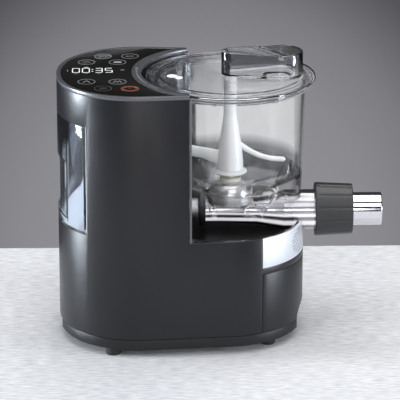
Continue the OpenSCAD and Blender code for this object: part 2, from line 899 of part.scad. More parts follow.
module mixer() {
    arm_low = mixer_low + 6.5;
    arm_high = mixer_low + 32.5;
    color("white") at_axis() difference() {
        union() {
            rotate_extrude() polygon([[0, mixer_low], [mixer_foot_radius, mixer_low],
                [mixer_foot_radius - 0.6, mixer_low + 12.5], [11.2, mixer_low + 28.5],
                [8.4, mixer_low + 46.5],
                [mixer_neck_radius, mixer_waist], [mixer_neck_radius, mixer_high - 2],
                [mixer_neck_radius - 2, mixer_high], [0, mixer_high]]);
            translate([0, arm_thickness / 2, 0]) rotate([90, 0, 0]) linear_extrude(arm_thickness)
                mixer_arm(arm_low, arm_high);
            translate([0, arm_thickness / 2, 0]) rotate([90, 0, 0]) linear_extrude(arm_thickness)
                mixer_blade();
        }
        slab(mixer_low - cut, mixer_low + 22.5) square(2 * (drive_square + gap), center = true);
    }
}

// Curved bar: it leaves the hub high up, falls in an arc and runs out level.
module mixer_arm(low, high) {
    steps = 12;
    function sag(t) = low + (high - low) * pow(1 - t, 2.4);
    polygon(concat(
        [for (i = [0:steps]) [arm_reach * i / steps, sag(i / steps) + arm_thickness]],
        [for (i = [steps:-1:0]) [arm_reach * i / steps, sag(i / steps)]]));
}

module mixer_blade() {
    translate([0, mixer_low]) polygon([[0, 20.5], [-12, 19.5], [6 - blade_reach, 28.5],
        [-blade_reach, 25.5], [-blade_reach, 19.5], [10 - blade_reach, 16.5],
        [-30, 11.5], [-12, 3.5], [0, 3.5]]);
}

skirt_radius = 17.6;

module mixer_skirt() {
    color("whitesmoke") at_axis() difference() {
        rotate_extrude() polygon([[0, skirt_z], [skirt_radius - 2, skirt_z], [skirt_radius, skirt_z + 1.5],
            [skirt_radius, skirt_z + 2.5], [mixer_foot_radius, mixer_low - seat_gap],
            [0, mixer_low - seat_gap]]);
        slab(skirt_z - cut, mixer_low) square(2 * drive_square, center = true);
    }
}

dome_base = drive_height + 10.5;
dome_top = drive_height + 34;
mixer_pitch_z = drive_height + mixer_module * mixer_pinion_teeth / 2;
wheel_outer = 19;
wheel_inner = 14;
journal_radius = 5.6;

module mixer_gear() {
    tooth_low = mixer_pitch_z - 0.1 * mixer_module;
    disc_low = mixer_pitch_z + 1.35 * mixer_module;
    pitch = 360 / mixer_wheel_teeth;
    color("ivory") at_axis() {
        slab(disc_low, disc_low + 3.4) circle(wheel_outer);
        for (i = [0:mixer_wheel_teeth - 1]) rotate(pitch * (i + 0.5)) slab(tooth_low, disc_low + 1)
            polygon([for (end = [[wheel_inner, -0.2], [wheel_outer - 0.3, -0.2], [wheel_outer - 0.3, 0.2],
                [wheel_inner, 0.2]]) end[0] * [cos(pitch * end[1]), sin(pitch * end[1])]]);
        slab(disc_low + 3.4, skirt_z) circle(journal_radius);
        slab(skirt_z, mixer_low + 20.5) square(2 * drive_square - 0.04, center = true);
    }
}

module gear_dome() {
    shell = 2;
    shoulder = dome_base + 8;
    crown = 9.5;
    radius = neck_radius - seat_gap;
    function cap(r0, top) = [for (i = [0:10]) let (t = 90 * i / 10)
        [crown + (r0 - crown) * cos(t), shoulder + (top - shoulder) * sin(t)]];
    color("lightgray") at_axis() rotate_extrude() polygon(concat(
        [[radius, dome_base + seat_gap]], cap(radius, dome_top),
        [[crown - 1, dome_top], [crown - 1, dome_top - shell]],
        [for (i = [10:-1:0]) let (t = 90 * i / 10)
            [crown + (radius - shell - crown) * cos(t), shoulder + (dome_top - shell - shoulder) * sin(t)]],
        [[radius - shell, dome_base + seat_gap]]));
}

module dome_bush() {
    color("whitesmoke") at_axis() difference() {
        union() {
            slab(dome_top - 6, dome_top + 4) circle(8.5 - 0.1);
            slab(dome_top + seat_gap, dome_top + 4) circle(11);
        }
        slab(dome_top - 10, dome_top + 10) circle(journal_radius + running_fit);
    }
}

module dough_guide() {
    far = bowl_foot_radius - bowl_wall - 6;
    near = far - 13;
    lift = 0.4;
    color("black") at_axis() translate([0, 3, 0]) rotate([90, 0, 0]) linear_extrude(6)
        polygon([[near, floor_z(near) + lift], [far, floor_z(far) + lift], [far - 4, floor_high + 1],
            [far - 8, floor_high + 5], [near + 2, floor_high - 1]]);
}

// ---- Extruder ----
neck_floor = dome_base;
neck_top = throat_foot - 0.3;

module barrel_profile(inset, from, to) {
    along_drive() polygon([[0, from], [barrel_tail_radius - inset, from],
        [barrel_tail_radius - inset, taper_start], [middle_radius - inset, taper_middle],
        [barrel_radius - inset, taper_end], [barrel_radius - inset, to], [0, to]]);
}

// Turns a profile of [radius, x] points about the extruder's axis.
module along_drive() {
    translate([0, 0, drive_height]) rotate([0, 90, 0]) rotate_extrude() children();
}

module extruder_barrel() {
    color("lightgray") at_axis() difference() {
        union() {
            barrel_profile(0, tail_x, barrel_end);
            slab(drive_height, neck_top) throat_plan(barrel_wall);
        }
        barrel_profile(barrel_wall, tail_x - cut, barrel_end + cut);
        slab(neck_floor, neck_top + cut) throat_plan();
        slab(drive_height, neck_top) circle(wheel_outer + 1.4);
        slab(drive_height, neck_top) translate([throat_reach, 0]) circle(11);
    }
}

module barrel_end_cap() {
    color("black") at_axis() difference() {
        union() {
            rod_x(end_cap_radius, tail_x - 4.2, tail_x + 2);
        }
        rod_x(barrel_tail_radius + 0.05, tail_x, tail_x + 3);
        rod_x(tail_journal + running_fit, tail_x - 10, tail_x + 10);
        slab(drive_height, neck_top + 10) circle(neck_radius + barrel_wall + seat_gap);
    }
}

tail_journal = 8;
bush_x = 20.5;
bush_width = 3.5;
bush_journal = 8;
core_radius = 7.5;
core_outlet = barrel_radius - barrel_wall - channel_depth;
screw_start = bush_x + bush_width + 0.5;
screw_end = barrel_end - 0.8;
flight_clear = 0.5;

// A size that runs from one value at one place to another value at a later place.
function between(x, from, to, first, last) = first + (last - first) * (x - from) / (to - from);

function barrel_inner(x) = (x < taper_middle
    ? between(x, taper_start, taper_middle, barrel_tail_radius, middle_radius)
    : x < taper_end
    ? between(x, taper_middle, taper_end, middle_radius, barrel_radius)
    : barrel_radius) - barrel_wall;

function screw_core(x) = x < taper_middle
    ? core_radius
    : x < taper_end
    ? between(x, taper_middle, taper_end, core_radius, core_outlet)
    : core_outlet;

// One helical flight as a band of four-cornered rings, each ring a little further along.
module flight(from, to, steps_per_turn = 28) {
    rings = floor((to - from - flight_thickness) / screw_pitch * steps_per_turn);
    first_turn = 40;
    function station(i) = from + flight_thickness / 2 + i * screw_pitch / steps_per_turn;
    function corner(i, radius, shift) = let (turn = -first_turn - 360 * i / steps_per_turn)
        [station(i) + shift, radius * sin(turn), drive_height + radius * cos(turn)];
    function ring(i) = let (outer = barrel_inner(station(i) - flight_thickness) - flight_clear,
        root = screw_core(station(i) - flight_thickness) - 0.5, half = flight_thickness / 2)
        [corner(i, root, -half), corner(i, outer, -half * 0.7),
            corner(i, outer, half * 0.7), corner(i, root, half)];
    points = [for (i = [0:rings]) each ring(i)];
    sides = [for (i = [0:rings - 1], k = [0:3]) each
        [[4 * i + k, 4 * i + (k + 1) % 4, 4 * (i + 1) + (k + 1) % 4],
        [4 * i + k, 4 * (i + 1) + (k + 1) % 4, 4 * (i + 1) + k]]];
    polyhedron(points, concat([[3, 2, 1, 0]], sides,
        [[4 * rings, 4 * rings + 1, 4 * rings + 2, 4 * rings + 3]]));
}

module auger() {
    pinion_x = -wheel_outer;
    color("silver") at_axis() {
        along_x(coupling_end - coupling_depth + 1.5) translate(output_place)
            cylinder(r = tail_radius, h = tail_x - 4.6 - (coupling_end - coupling_depth + 1.5), $fn = 6);
        rod_x(tail_journal, tail_x - 4.6, tail_x + 4);
        rod_x(5.6, tail_x + 4, bush_x - 0.5);
        gear(mixer_pinion_teeth, mixer_module, wheel_outer - wheel_inner, pinion_x, output_place, 90);
        rod_x(bush_journal, bush_x - 0.5, screw_start);
        along_drive() polygon([[0, screw_start], [core_radius, screw_start], [core_radius, taper_middle],
            [core_outlet, taper_end], [core_outlet, screw_end - 1], [core_outlet - 1, screw_end],
            [0, screw_end]]);
        flight(screw_start + 0.5, screw_end);
    }
}

module auger_bush() {
    bush_end = bush_x + bush_width;
    color("ivory") at_axis() difference() {
        along_drive() polygon([[0, bush_x], [barrel_inner(bush_x) - seat_gap / 2, bush_x],
            [barrel_inner(bush_end) - seat_gap, bush_end], [0, bush_end]]);
        rod_x(bush_journal + running_fit, bush_x - cut, bush_x + bush_width + cut);
        slab(neck_floor, body_height) circle(60);
    }
}

die_thickness = 3.2;
die_x = barrel_end + seat_gap;

module die_disc() {
    color("whitesmoke") at_axis() difference() {
        rod_x(die_radius, die_x, die_x + die_thickness);
        for (ring = [0:2], i = [0:max(0, 6 * ring - 1)]) let (turn = ring == 0 ? 0 : 60 * i / ring)
            rod_x(1.2, die_x - cut, die_x + die_thickness + cut,
                drive_height + 5.2 * ring * sin(turn), 5.2 * ring * cos(turn));
    }
}

flange_x = die_x + die_thickness + seat_gap;
flange_width = 2.8;

module ring_nut() {
    flutes = 12;
    first_flute = 10;
    color("dimgray") at_axis() difference() {
        along_drive() polygon([[0, nut_start], [nut_radius - 1, nut_start], [nut_radius, nut_start + 1],
            [nut_radius - nut_taper, nut_end - 1], [nut_radius - nut_taper - 1, nut_end], [0, nut_end]]);
        rod_x(barrel_radius + gap, nut_start - cut, flange_x + flange_width + gap);
        rod_x(nozzle_radius + gap, nut_start, nut_end + cut);
        for (i = [0:flutes - 1]) rotate_about_drive(360 / flutes * i + first_flute)
            rod_x(1.1, nut_start + 4, nut_end + cut, drive_height + nut_radius + 0.2);
    }
}

module nozzle() {
    bore = nozzle_radius - 3.4;
    color("silver") at_axis() along_drive() polygon(concat(
        [[bore, flange_x], [die_radius, flange_x], [die_radius, flange_x + flange_width],
            [nozzle_radius, flange_x + flange_width]],
        arc([nozzle_radius - 4, nozzle_end - 4], 3.4, 0, 90, 8),
        [[bore + 1, nozzle_end - 0.6], [bore, nozzle_end - 1.6]]));
}

base_pan();
rubber_feet();
main_shell();
bay_liner();
horn_trims();
top_bezel();
control_glass();
vent_band();
inlet_grommet();
storage_pocket();
control_board();
display_module();
power_board();
lid_switch();
motor_can();
motor_stator();
motor_end_bells();
motor_rotor();
motor_pinion();
cooling_fan();
fan_shroud();
gearbox_case();
gearbox_cover();
compound_gear();
compound_pin();
output_gear();
output_shaft();
output_bearings();
drive_boss();
drive_coupling();
bowl();
lid();
lid_seal();
mixer();
mixer_skirt();
mixer_gear();
gear_dome();
dome_bush();
dough_guide();
extruder_barrel();
barrel_end_cap();
auger();
auger_bush();
die_disc();
ring_nut();
nozzle();
storage_box();
drawer_front();
drawer_tray();
spare_dies();
base_screws();
motor_screws();
board_screws();
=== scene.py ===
import json
import math

import bmesh
import bpy
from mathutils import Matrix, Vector

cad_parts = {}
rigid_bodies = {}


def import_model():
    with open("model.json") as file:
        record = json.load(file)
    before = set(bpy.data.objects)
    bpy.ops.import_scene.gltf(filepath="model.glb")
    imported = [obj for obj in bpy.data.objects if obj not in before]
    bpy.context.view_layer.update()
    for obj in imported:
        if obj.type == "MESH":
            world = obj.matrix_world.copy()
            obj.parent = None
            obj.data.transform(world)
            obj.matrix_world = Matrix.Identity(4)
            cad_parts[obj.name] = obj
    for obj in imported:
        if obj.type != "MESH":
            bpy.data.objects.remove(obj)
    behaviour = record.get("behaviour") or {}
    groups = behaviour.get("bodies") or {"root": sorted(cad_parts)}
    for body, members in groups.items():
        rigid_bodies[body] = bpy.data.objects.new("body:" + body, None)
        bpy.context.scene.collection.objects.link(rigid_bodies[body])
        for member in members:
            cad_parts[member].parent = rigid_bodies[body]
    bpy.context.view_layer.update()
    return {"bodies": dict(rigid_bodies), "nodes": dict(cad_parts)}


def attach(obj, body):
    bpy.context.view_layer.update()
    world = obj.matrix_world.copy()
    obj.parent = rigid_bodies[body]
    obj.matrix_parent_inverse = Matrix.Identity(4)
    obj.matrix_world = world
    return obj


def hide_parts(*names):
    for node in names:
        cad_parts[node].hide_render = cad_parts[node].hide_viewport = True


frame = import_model()
print("frame loaded")

mm = 0.001
bowlX = 10.2  # the bowl's axis stands this far right of the frame's origin
nodeBody = {
    node: next(name for name, empty in frame["bodies"].items() if empty == piece.parent)
    for node, piece in frame["nodes"].items()
}

cameraSizes = {
    "place": (-0.0844, -2.8946, 1.1383),
    "target": (-0.0213, 0.0, 0.1411),
    "lens": 262.75,
    "sensor": 36.0,
    "far": 30,
}
softboxes = {
    # name: place, aim, width, height, watts, tint
    "keyLeft": ((-1.5, -1.9, 2.2), (0, 0, 0.1), 0.9, 0.9, 14, (1, 1, 1)),
    "sideLeft": ((-2.3, 0.0, 0.3), (0, 0, 0.15), 0.42, 0.5, 88, (0.82, 0.91, 1)),
    "frontFill": ((-0.05, -3.2, 0.85), (0, 0, 0.15), 1.5, 0.7, 17, (0.97, 0.98, 1)),
    "frontHigh": ((0.5, -2.3, 2.3), (0, 0, 0.1), 2.0, 1.3, 20, (1, 1, 1)),
    "sideRight": ((2.15, -0.78, 0.42), (0, 0, 0.15), 0.4, 0.7, 40, (0.86, 0.93, 1)),
    "topWide": ((0.1, -0.3, 2.5), (0, 0, 0.1), 2.2, 1.5, 34, (1, 1, 1)),
    "topBack": ((0.2, 0.95, 2.2), (0, 0, 0.1), 1.4, 0.8, 16, (1, 1, 1)),
}


def putInScene(name, data):
    thing = bpy.data.objects.new(name, data)
    bpy.context.scene.collection.objects.link(thing)
    return thing


def aimed(thing, place, target):
    thing.location = place
    thing.rotation_euler = (Vector(target) - Vector(place)).to_track_quat("-Z", "Y").to_euler()


def makeCamera(sizes):
    data = bpy.data.cameras.new("camera")
    data.lens, data.sensor_width, data.clip_end = sizes["lens"], sizes["sensor"], sizes["far"]
    camera = putInScene("camera", data)
    aimed(camera, sizes["place"], sizes["target"])
    bpy.context.scene.camera = camera


def makeSoftbox(name, place, target, width, height, watts, tint):
    data = bpy.data.lights.new(name, "AREA")
    data.shape = "RECTANGLE"
    data.size, data.size_y = width, height
    data.energy, data.color = watts, tint
    aimed(putInScene(name, data), place, target)


makeCamera(cameraSizes)
for lampName, lampValues in softboxes.items():
    makeSoftbox(lampName, *lampValues)


# short ways to build a tree of nodes
def feed(tree, socket, value):
    # links a socket, sets anything else
    if isinstance(value, bpy.types.NodeSocket):
        tree.links.new(value, socket)
    else:
        socket.default_value = value


def add(tree, kind, feeds=None, **settings):
    node = tree.nodes.new(kind)
    for setting, value in settings.items():
        setattr(node, setting, value)
    for key, value in (feeds or {}).items():
        feed(tree, node.inputs[key], value)
    return node


def calc(tree, operation, *values):
    return add(tree, "ShaderNodeMath", dict(enumerate(values)), operation=operation).outputs[0]


def spread(tree, value, fromRange, toRange=(0, 1), smooth=False):
    # maps one range of a value onto another
    kind = "SMOOTHSTEP" if smooth else "LINEAR"
    feeds = dict(zip(("From Min", "From Max", "To Min", "To Max"), (*fromRange, *toRange)), Value=value)
    return add(tree, "ShaderNodeMapRange", feeds, interpolation_type=kind).outputs["Result"]


def blended(tree, factor, first, second):
    return add(tree, "ShaderNodeMix", {"Factor": factor, "A": first, "B": second}, data_type="RGBA").outputs["Result"]


def vectors(tree, operation, *values):
    return add(tree, "ShaderNodeVectorMath", dict(enumerate(values)), operation=operation).outputs


def apart(tree, vector):
    return tuple(add(tree, "ShaderNodeSeparateXYZ", {"Vector": vector}).outputs)


def newSockets(tree, way, kinds):
    for label, kind in kinds.items():
        tree.interface.new_socket(name=label, in_out=way, socket_type="NodeSocket" + kind)


def startGroup(name, family, inputs, outputs):
    tree = bpy.data.node_groups.new(name, family)
    newSockets(tree, "INPUT", inputs)
    newSockets(tree, "OUTPUT", outputs)
    return tree, tree.nodes.new("NodeGroupInput").outputs, tree.nodes.new("NodeGroupOutput").inputs


def noiseAt(tree, given, detail):
    squeezed = vectors(tree, "MULTIPLY", given["Place"], given["Stretch"])["Vector"]
    feeds = {"Vector": squeezed, "Scale": given["Scale"], "Detail": detail}
    return add(tree, "ShaderNodeTexNoise", feeds).outputs["Fac"]


def buildDrift():
    # a slow change of a value and of a tint over the surface
    inputs = {"Place": "Vector", "Stretch": "Vector", "Scale": "Float", "Low": "Float", "High": "Float"}
    inputs.update({"First": "Color", "Second": "Color"})
    tree, given, result = startGroup("surfaceDrift", "ShaderNodeTree", inputs, {"Value": "Float", "Tint": "Color"})
    noise = noiseAt(tree, given, 3)
    feed(tree, result["Value"], spread(tree, noise, (0.35, 0.65), (given["Low"], given["High"])))
    feed(tree, result["Tint"], blended(tree, noise, given["First"], given["Second"]))
    return tree


def buildGrain():
    # fine moulded, cast or brushed relief; Stretch squeezes it into lines
    inputs = {"Place": "Vector", "Scale": "Float", "Stretch": "Vector"}
    tree, given, result = startGroup("surfaceGrain", "ShaderNodeTree", inputs, {"Height": "Float"})
    feed(tree, result["Height"], noiseAt(tree, given, 2))
    return tree


def rgb(red, green, blue):
    light = [((c / 255 + 0.055) / 1.055) ** 2.4 if c > 10 else c / 255 / 12.92 for c in (red, green, blue)]
    return tuple(light) + (1,)


paintedTubeGlow = {
    # painted glow: bands of emission along the clear tube's front stand in for the light a clear tube gathers; place
    # of each band's middle and half its
    #  height, as shares of the radius, which grows along the tube
    "axis": 0.1305,
    "along": (0.038, 0.066),
    "radius": (0.0152, 0.0207),
    "bands": ((-0.45, 0.2), (-0.02, 0.11)),
    "core": 0.3,
    "front": (-0.004, -0.001),
    "colour": rgb(236, 234, 238),
}


def buildPaintedTubeGlow():
    light = paintedTubeGlow
    tree, given, result = startGroup("paintedTubeGlow", "ShaderNodeTree", {"Place": "Vector"}, {"Colour": "Color"})
    x, y, z = apart(tree, given["Place"])
    radius = spread(tree, x, light["along"], light["radius"])
    height = calc(tree, "DIVIDE", calc(tree, "SUBTRACT", z, light["axis"]), radius)
    bands = []
    for middle, half in light["bands"]:
        away = calc(tree, "ABSOLUTE", calc(tree, "SUBTRACT", height, middle))
        bands.append(spread(tree, away, (half * light["core"], half), (1, 0), True))
    mask = calc(tree, "MULTIPLY", calc(tree, "MAXIMUM", *bands), spread(tree, y, light["front"], (1, 0)))
    feed(tree, result["Colour"], blended(tree, mask, rgb(0, 0, 0), light["colour"]))
    return tree


driftGroup, grainGroup, paintedTubeGlowGroup = buildDrift(), buildGrain(), buildPaintedTubeGlow()

finishes = {
    # the two ends of the tint, the roughness from and to, then what else the surface has
    "housingPlastic": ((17, 17, 21), (20, 20, 24), (0.34, 0.38), dict(grain=1500, bump=0.04, spec=0.4)),
    "baseBlack": ((18, 18, 20), (24, 24, 26), (0.42, 0.5), dict(grain=1300, bump=0.06, spec=0.35)),
    "bayShade": ((9, 9, 10), (13, 13, 14), (0.3, 0.4), dict(grain=1300, bump=0.04, spec=0.12)),
    "bayGloss": ((22, 22, 24), (24, 24, 27), (0.05, 0.09), dict(driftScale=20)),
    "bezelGrey": ((96, 96, 100), (104, 104, 108), (0.3, 0.38), dict(metal=0.6, grain=1500, bump=0.04)),
    "panelGlass": ((14, 13, 9), (18, 17, 13), (0.02, 0.05), dict(driftScale=14)),
    "bandAluminium": (
        (220, 223, 230), (208, 211, 218), (0.46, 0.54), dict(metal=0.7, grain=700, stretch=(1, 1, 14), bump=0.12)
    ),
    "nozzleChrome": ((226, 226, 230), (216, 216, 222), (0.04, 0.08), dict(metal=1.0, driftScale=24)),
    "steelPolished": (
        (232, 231, 233), (218, 217, 220), (0.28, 0.38), dict(metal=1.0, grain=500, stretch=(9, 1, 1), bump=0.04)
    ),
    "steelSatin": ((190, 190, 194), (172, 172, 178), (0.4, 0.52), dict(metal=1.0, grain=600, bump=0.05)),
    "nutSoft": ((30, 30, 32), (36, 36, 38), (0.4, 0.46), dict(grain=1200, bump=0.06, spec=0.6)),
    "mixerWhite": ((230, 230, 230), (225, 225, 224), (0.28, 0.36), dict(grain=1400, bump=0.02)),
    "skirtWhite": ((208, 208, 207), (202, 202, 200), (0.3, 0.38), dict(grain=1400, bump=0.02)),
    "gearIvory": ((214, 208, 190), (202, 196, 176), (0.36, 0.46), dict(grain=1200, bump=0.05)),
    "darkInsert": ((12, 12, 15), (17, 17, 20), (0.34, 0.44), dict(grain=1200, bump=0.05, spec=0.2)),
    "footRubber": ((24, 24, 24), (32, 32, 32), (0.7, 0.82), dict(grain=700, bump=0.2)),
    "boardGreen": ((22, 84, 52), (30, 102, 64), (0.3, 0.4), dict(driftScale=160, grain=400, bump=0.08)),
    "copperWinding": (
        (186, 104, 60), (150, 78, 42), (0.3, 0.42), dict(metal=1.0, grain=420, stretch=(0.2, 1, 1), bump=0.4)
    ),
    "pinionBrass": ((196, 158, 84), (176, 138, 70), (0.26, 0.36), dict(metal=1.0, grain=600, bump=0.06)),
    "castAlloy": ((150, 152, 154), (132, 134, 138), (0.46, 0.6), dict(metal=1.0, grain=500, bump=0.22)),
    "trayPlastic": ((84, 86, 90), (94, 96, 100), (0.42, 0.5), dict(grain=1200, bump=0.08)),
    # glow: the display's lit figures; the lid's print shares this finish and so gets a painted glow
    "printWhite": ((236, 238, 240), (228, 230, 233), (0.4, 0.5), dict(glow=0.3)),
    "printGrey": ((150, 152, 150), (138, 140, 138), (0.4, 0.5), dict(spec=0.2)),
    "printFaint": ((84, 86, 84), (76, 78, 76), (0.4, 0.5), dict(spec=0.2)),
    "litCopper": ((168, 96, 62), (150, 84, 52), (0.4, 0.5), dict(glow=0.12)),
    "pocketWhite": ((238, 240, 242), (230, 233, 236), (0.4, 0.5), dict(grain=1200, bump=0.04)),
}
clearFinishes = {
    "bowlSmoke": (
        (240, 241, 242), (237, 238, 239), (0.01, 0.03),
        dict(
            # low, step and behind: the painted shade's grey and where it lies, in the lower back of the bowl
            ior=1.46, shade=0.97, low=(128, 128, 131), step=(0.181, 0.193), behind=(-0.004, 0.02),
            thin=0.08, thinStep=(0.178, 0.188), thinFront=(-0.04, -0.014),
        ),
    ),
    "lidSmoke": ((224, 224, 227), (218, 219, 222), (0.02, 0.04), dict(ior=1.46, shade=0.94)),
    # edge: strength of the painted glow along the barrel tube's front
    "barrelClear": ((212, 211, 214), (204, 203, 207), (0.06, 0.11), dict(ior=1.46, metal=0.26, shade=0.97, edge=0.5)),
    "neckClear": ((250, 250, 251), (248, 248, 249), (0.0, 0.01), dict(ior=1.14, shade=0.99)),
    "domeClear": ((222, 222, 225), (212, 212, 216), (0.16, 0.24), dict(ior=1.3, metal=0.55, shade=0.9)),
    "sealClear": ((236, 237, 240), (230, 231, 234), (0.2, 0.3), dict(ior=1.12, shade=0.95)),
    "storageClear": ((240, 244, 250), (236, 241, 248), (0.05, 0.09), dict(ior=1.22, shade=0.97)),
}
grainDepth = 0.2 * mm


def startFinish(name, first, second, rough, look):
    # gives the material, its tree, the inputs of its shader and the place on the surface
    material = bpy.data.materials.new(name)
    material.use_nodes = True
    tree = material.node_tree
    shader = tree.nodes["Principled BSDF"].inputs
    place = add(tree, "ShaderNodeTexCoord").outputs["Object"]
    feeds = {"Place": place, "Scale": look.get("driftScale", 40), "Stretch": look.get("driftStretch", (1, 1, 1))}
    feeds.update({"Low": rough[0], "High": rough[1], "First": rgb(*first), "Second": rgb(*second)})
    drift = add(tree, "ShaderNodeGroup", feeds, node_tree=driftGroup).outputs
    feed(tree, shader["Base Color"], drift["Tint"])
    feed(tree, shader["Roughness"], drift["Value"])
    shader["Metallic"].default_value = look.get("metal", 0)
    shader["Specular IOR Level"].default_value = look.get("spec", 0.5)
    if "glow" in look:
        shader["Emission Strength"].default_value = look["glow"]
        shader["Emission Color"].default_value = rgb(*first)
    if "grain" in look:
        feeds = {"Place": place, "Scale": look["grain"], "Stretch": look.get("stretch", (1, 1, 1))}
        height = add(tree, "ShaderNodeGroup", feeds, node_tree=grainGroup).outputs["Height"]
        bump = add(tree, "ShaderNodeBump", {"Strength": look["bump"], "Distance": grainDepth, "Height": height})
        feed(tree, shader["Normal"], bump.outputs["Normal"])
    return material, tree, shader, place


def makeFinish(name, look):
    return startFinish(name, *look)[0]


def addPaintedLowShade(tree, shader, place, look):
    # painted shade: darker below a height and towards the back, standing in for the dark deck that the funnel's floor
    # shows
    y, z = apart(tree, place)[1:]
    upper = shader["Base Color"].links[0].from_socket
    factor = calc(tree, "MAXIMUM", spread(tree, z, look["step"]), spread(tree, y, look["behind"], (1, 0)))
    feed(tree, shader["Base Color"], blended(tree, factor, rgb(*look["low"]), upper))


def addPaintedTubeGlow(tree, shader, place, look):
    # painted glow: emission bands along the clear tube's front, standing in for light it would gather
    light = add(tree, "ShaderNodeGroup", {"Place": place}, node_tree=paintedTubeGlowGroup)
    feed(tree, shader["Emission Color"], light.outputs["Colour"])
    shader["Emission Strength"].default_value = look["edge"]


def addThinning(tree, shader, place, look):
    # the moulded funnel under the front of the bowl is thinner and hardly shows
    y, z = apart(tree, place)[1:]
    thinned = (look["thin"], 1)
    steps = [spread(tree, z, look["thinStep"], thinned), spread(tree, y, look["thinFront"], thinned)]
    feed(tree, shader["Alpha"], calc(tree, "MAXIMUM", *steps))


def makeClear(name, values):
    # lamps shine straight through, tinted; everything else meets real clear plastic
    material, tree, shader, place = startFinish(name, *values)
    look = values[-1]
    shader["Transmission Weight"].default_value = 1
    shader["IOR"].default_value = look["ior"]
    for key, addTo in (("low", addPaintedLowShade), ("edge", addPaintedTubeGlow), ("thin", addThinning)):
        if key in look:
            addTo(tree, shader, place, look)
    path = add(tree, "ShaderNodeLightPath").outputs
    either = calc(tree, "MAXIMUM", path["Is Shadow Ray"], path["Is Diffuse Ray"])
    through = add(tree, "ShaderNodeBsdfTransparent", {"Color": (look["shade"],) * 3 + (1,)}).outputs["BSDF"]
    plastic = tree.nodes["Principled BSDF"].outputs["BSDF"]
    mix = add(tree, "ShaderNodeMixShader", {"Fac": either, 1: plastic, 2: through})
    feed(tree, tree.nodes["Material Output"].inputs["Surface"], mix.outputs["Shader"])
    return material


materials = {name: makeFinish(name, look) for name, look in finishes.items()}
materials.update({name: makeClear(name, look) for name, look in clearFinishes.items()})
print("finishes made", len(materials))

stageSizes = {
    "halfWidth": 7.0,
    "front": -7.0,
    "edge": 0.245,  # the table ends just behind the machine
    "thick": 0.03,
    "look": (
        (160, 160, 163), (250, 250, 251), (0.36, 0.5),
        dict(driftScale=330, driftStretch=(0.22, 1, 1), grain=420, stretch=(0.25, 1, 1), bump=0.5),
    ),
}
backdropSizes = {
    # a soft spot behind the machine: its middle as a direction of view, then distance and shade
    "middle": (0.02, 0, -0.341),
    "stops": [
        (0.02, (148, 147, 152)), (0.06, (139, 138, 143)), (0.08, (126, 125, 130)),
        (0.105, (86, 85, 90)), (0.35, (60, 60, 64)),
    ],
    "ambient": ((240, 240, 244), 0.22),
    # the white card that shows through clear plastic: by height, and by distance to the side
    "card": ((-0.322, -0.304), (0.1, 0.86)),
    "side": ((0.0052, 0.0064), (0.08, 1)),
}


def makeFloor(sizes):
    wide, front, edge = sizes["halfWidth"], sizes["front"], sizes["edge"]
    mesh = bpy.data.meshes.new("table")
    corners = [(-wide, front, 0), (wide, front, 0), (wide, edge, 0), (-wide, edge, 0)]
    lower = [(x, y, -sizes["thick"]) for x, y, z in corners]
    sides = [(a + 4, (a + 1) % 4 + 4, (a + 1) % 4, a) for a in range(4)]
    mesh.from_pydata(corners + lower, [], [(0, 1, 2, 3), (7, 6, 5, 4)] + sides)
    table = putInScene("table", mesh)
    table.data.materials.append(makeFinish("tableSilver", sizes["look"]))


def makeBackdrop(sizes):
    world = bpy.data.worlds.new("studio")
    world.use_nodes = True
    bpy.context.scene.world = world
    tree = world.node_tree
    tree.nodes.clear()
    direction = add(tree, "ShaderNodeTexCoord").outputs["Generated"]
    spot = vectors(tree, "SUBTRACT", direction, sizes["middle"])["Vector"]
    flat = vectors(tree, "MULTIPLY", spot, (1, 0, 1))["Vector"]
    ramp = add(tree, "ShaderNodeValToRGB", {"Fac": vectors(tree, "LENGTH", flat)["Value"]})
    shades = ramp.color_ramp.elements
    while len(shades) < len(sizes["stops"]):
        shades.new(0.5)
    for shade, (position, grey) in zip(shades, sizes["stops"]):
        shade.position, shade.color = position, rgb(*grey)
    path = add(tree, "ShaderNodeLightPath").outputs
    seen = calc(tree, "MAXIMUM", path["Is Camera Ray"], path["Is Glossy Ray"])
    seen = calc(tree, "MAXIMUM", seen, path["Is Transmission Ray"])
    x, z = apart(tree, direction)[::2]
    card = calc(tree, "MULTIPLY", spread(tree, z, *sizes["card"]), spread(tree, x, *sizes["side"]))
    shown = blended(tree, path["Is Transmission Ray"], ramp.outputs["Color"], card)
    grey, strength = sizes["ambient"]
    ambient = add(tree, "ShaderNodeBackground", {"Color": rgb(*grey), "Strength": strength})
    picture = add(tree, "ShaderNodeBackground", {"Color": shown})
    mix = add(tree, "ShaderNodeMixShader", {"Fac": seen, 1: ambient.outputs[0], 2: picture.outputs[0]})
    add(tree, "ShaderNodeOutputWorld", {"Surface": mix.outputs["Shader"]})


makeFloor(stageSizes)
makeBackdrop(backdropSizes)
print("stage ready")


def placed(name, mesh, finish, node, replacing=None, smooth=32):
    piece = putInScene(name, mesh)
    mesh.materials.clear()
    mesh.materials.append(materials[finish])
    mesh.polygons.foreach_set("use_smooth", [True] * len(mesh.polygons))
    mesh.set_sharp_from_angle(angle=math.radians(smooth))
    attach(piece, nodeBody[node])
    if replacing:
        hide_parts(*replacing)


def meshOf(work, name):
    mesh = bpy.data.meshes.new(name)
    work.to_mesh(mesh)
    work.free()
    return mesh


def bevelled(work, edges, width, steps):
    bmesh.ops.bevel(
        work, geom=edges, offset=width * mm, segments=steps, profile=0.5, affect="EDGES", clamp_overlap=True
    )


gripSizes = {
    # depth of the finger grip, then for its outer and inner face: bottom, top and the flat's X
    "depth": 2.2,
    "faces": ((139.4, 198.4, -159.8), (137.4, 200.4, -157.8)),
    "near": 0.02,
}


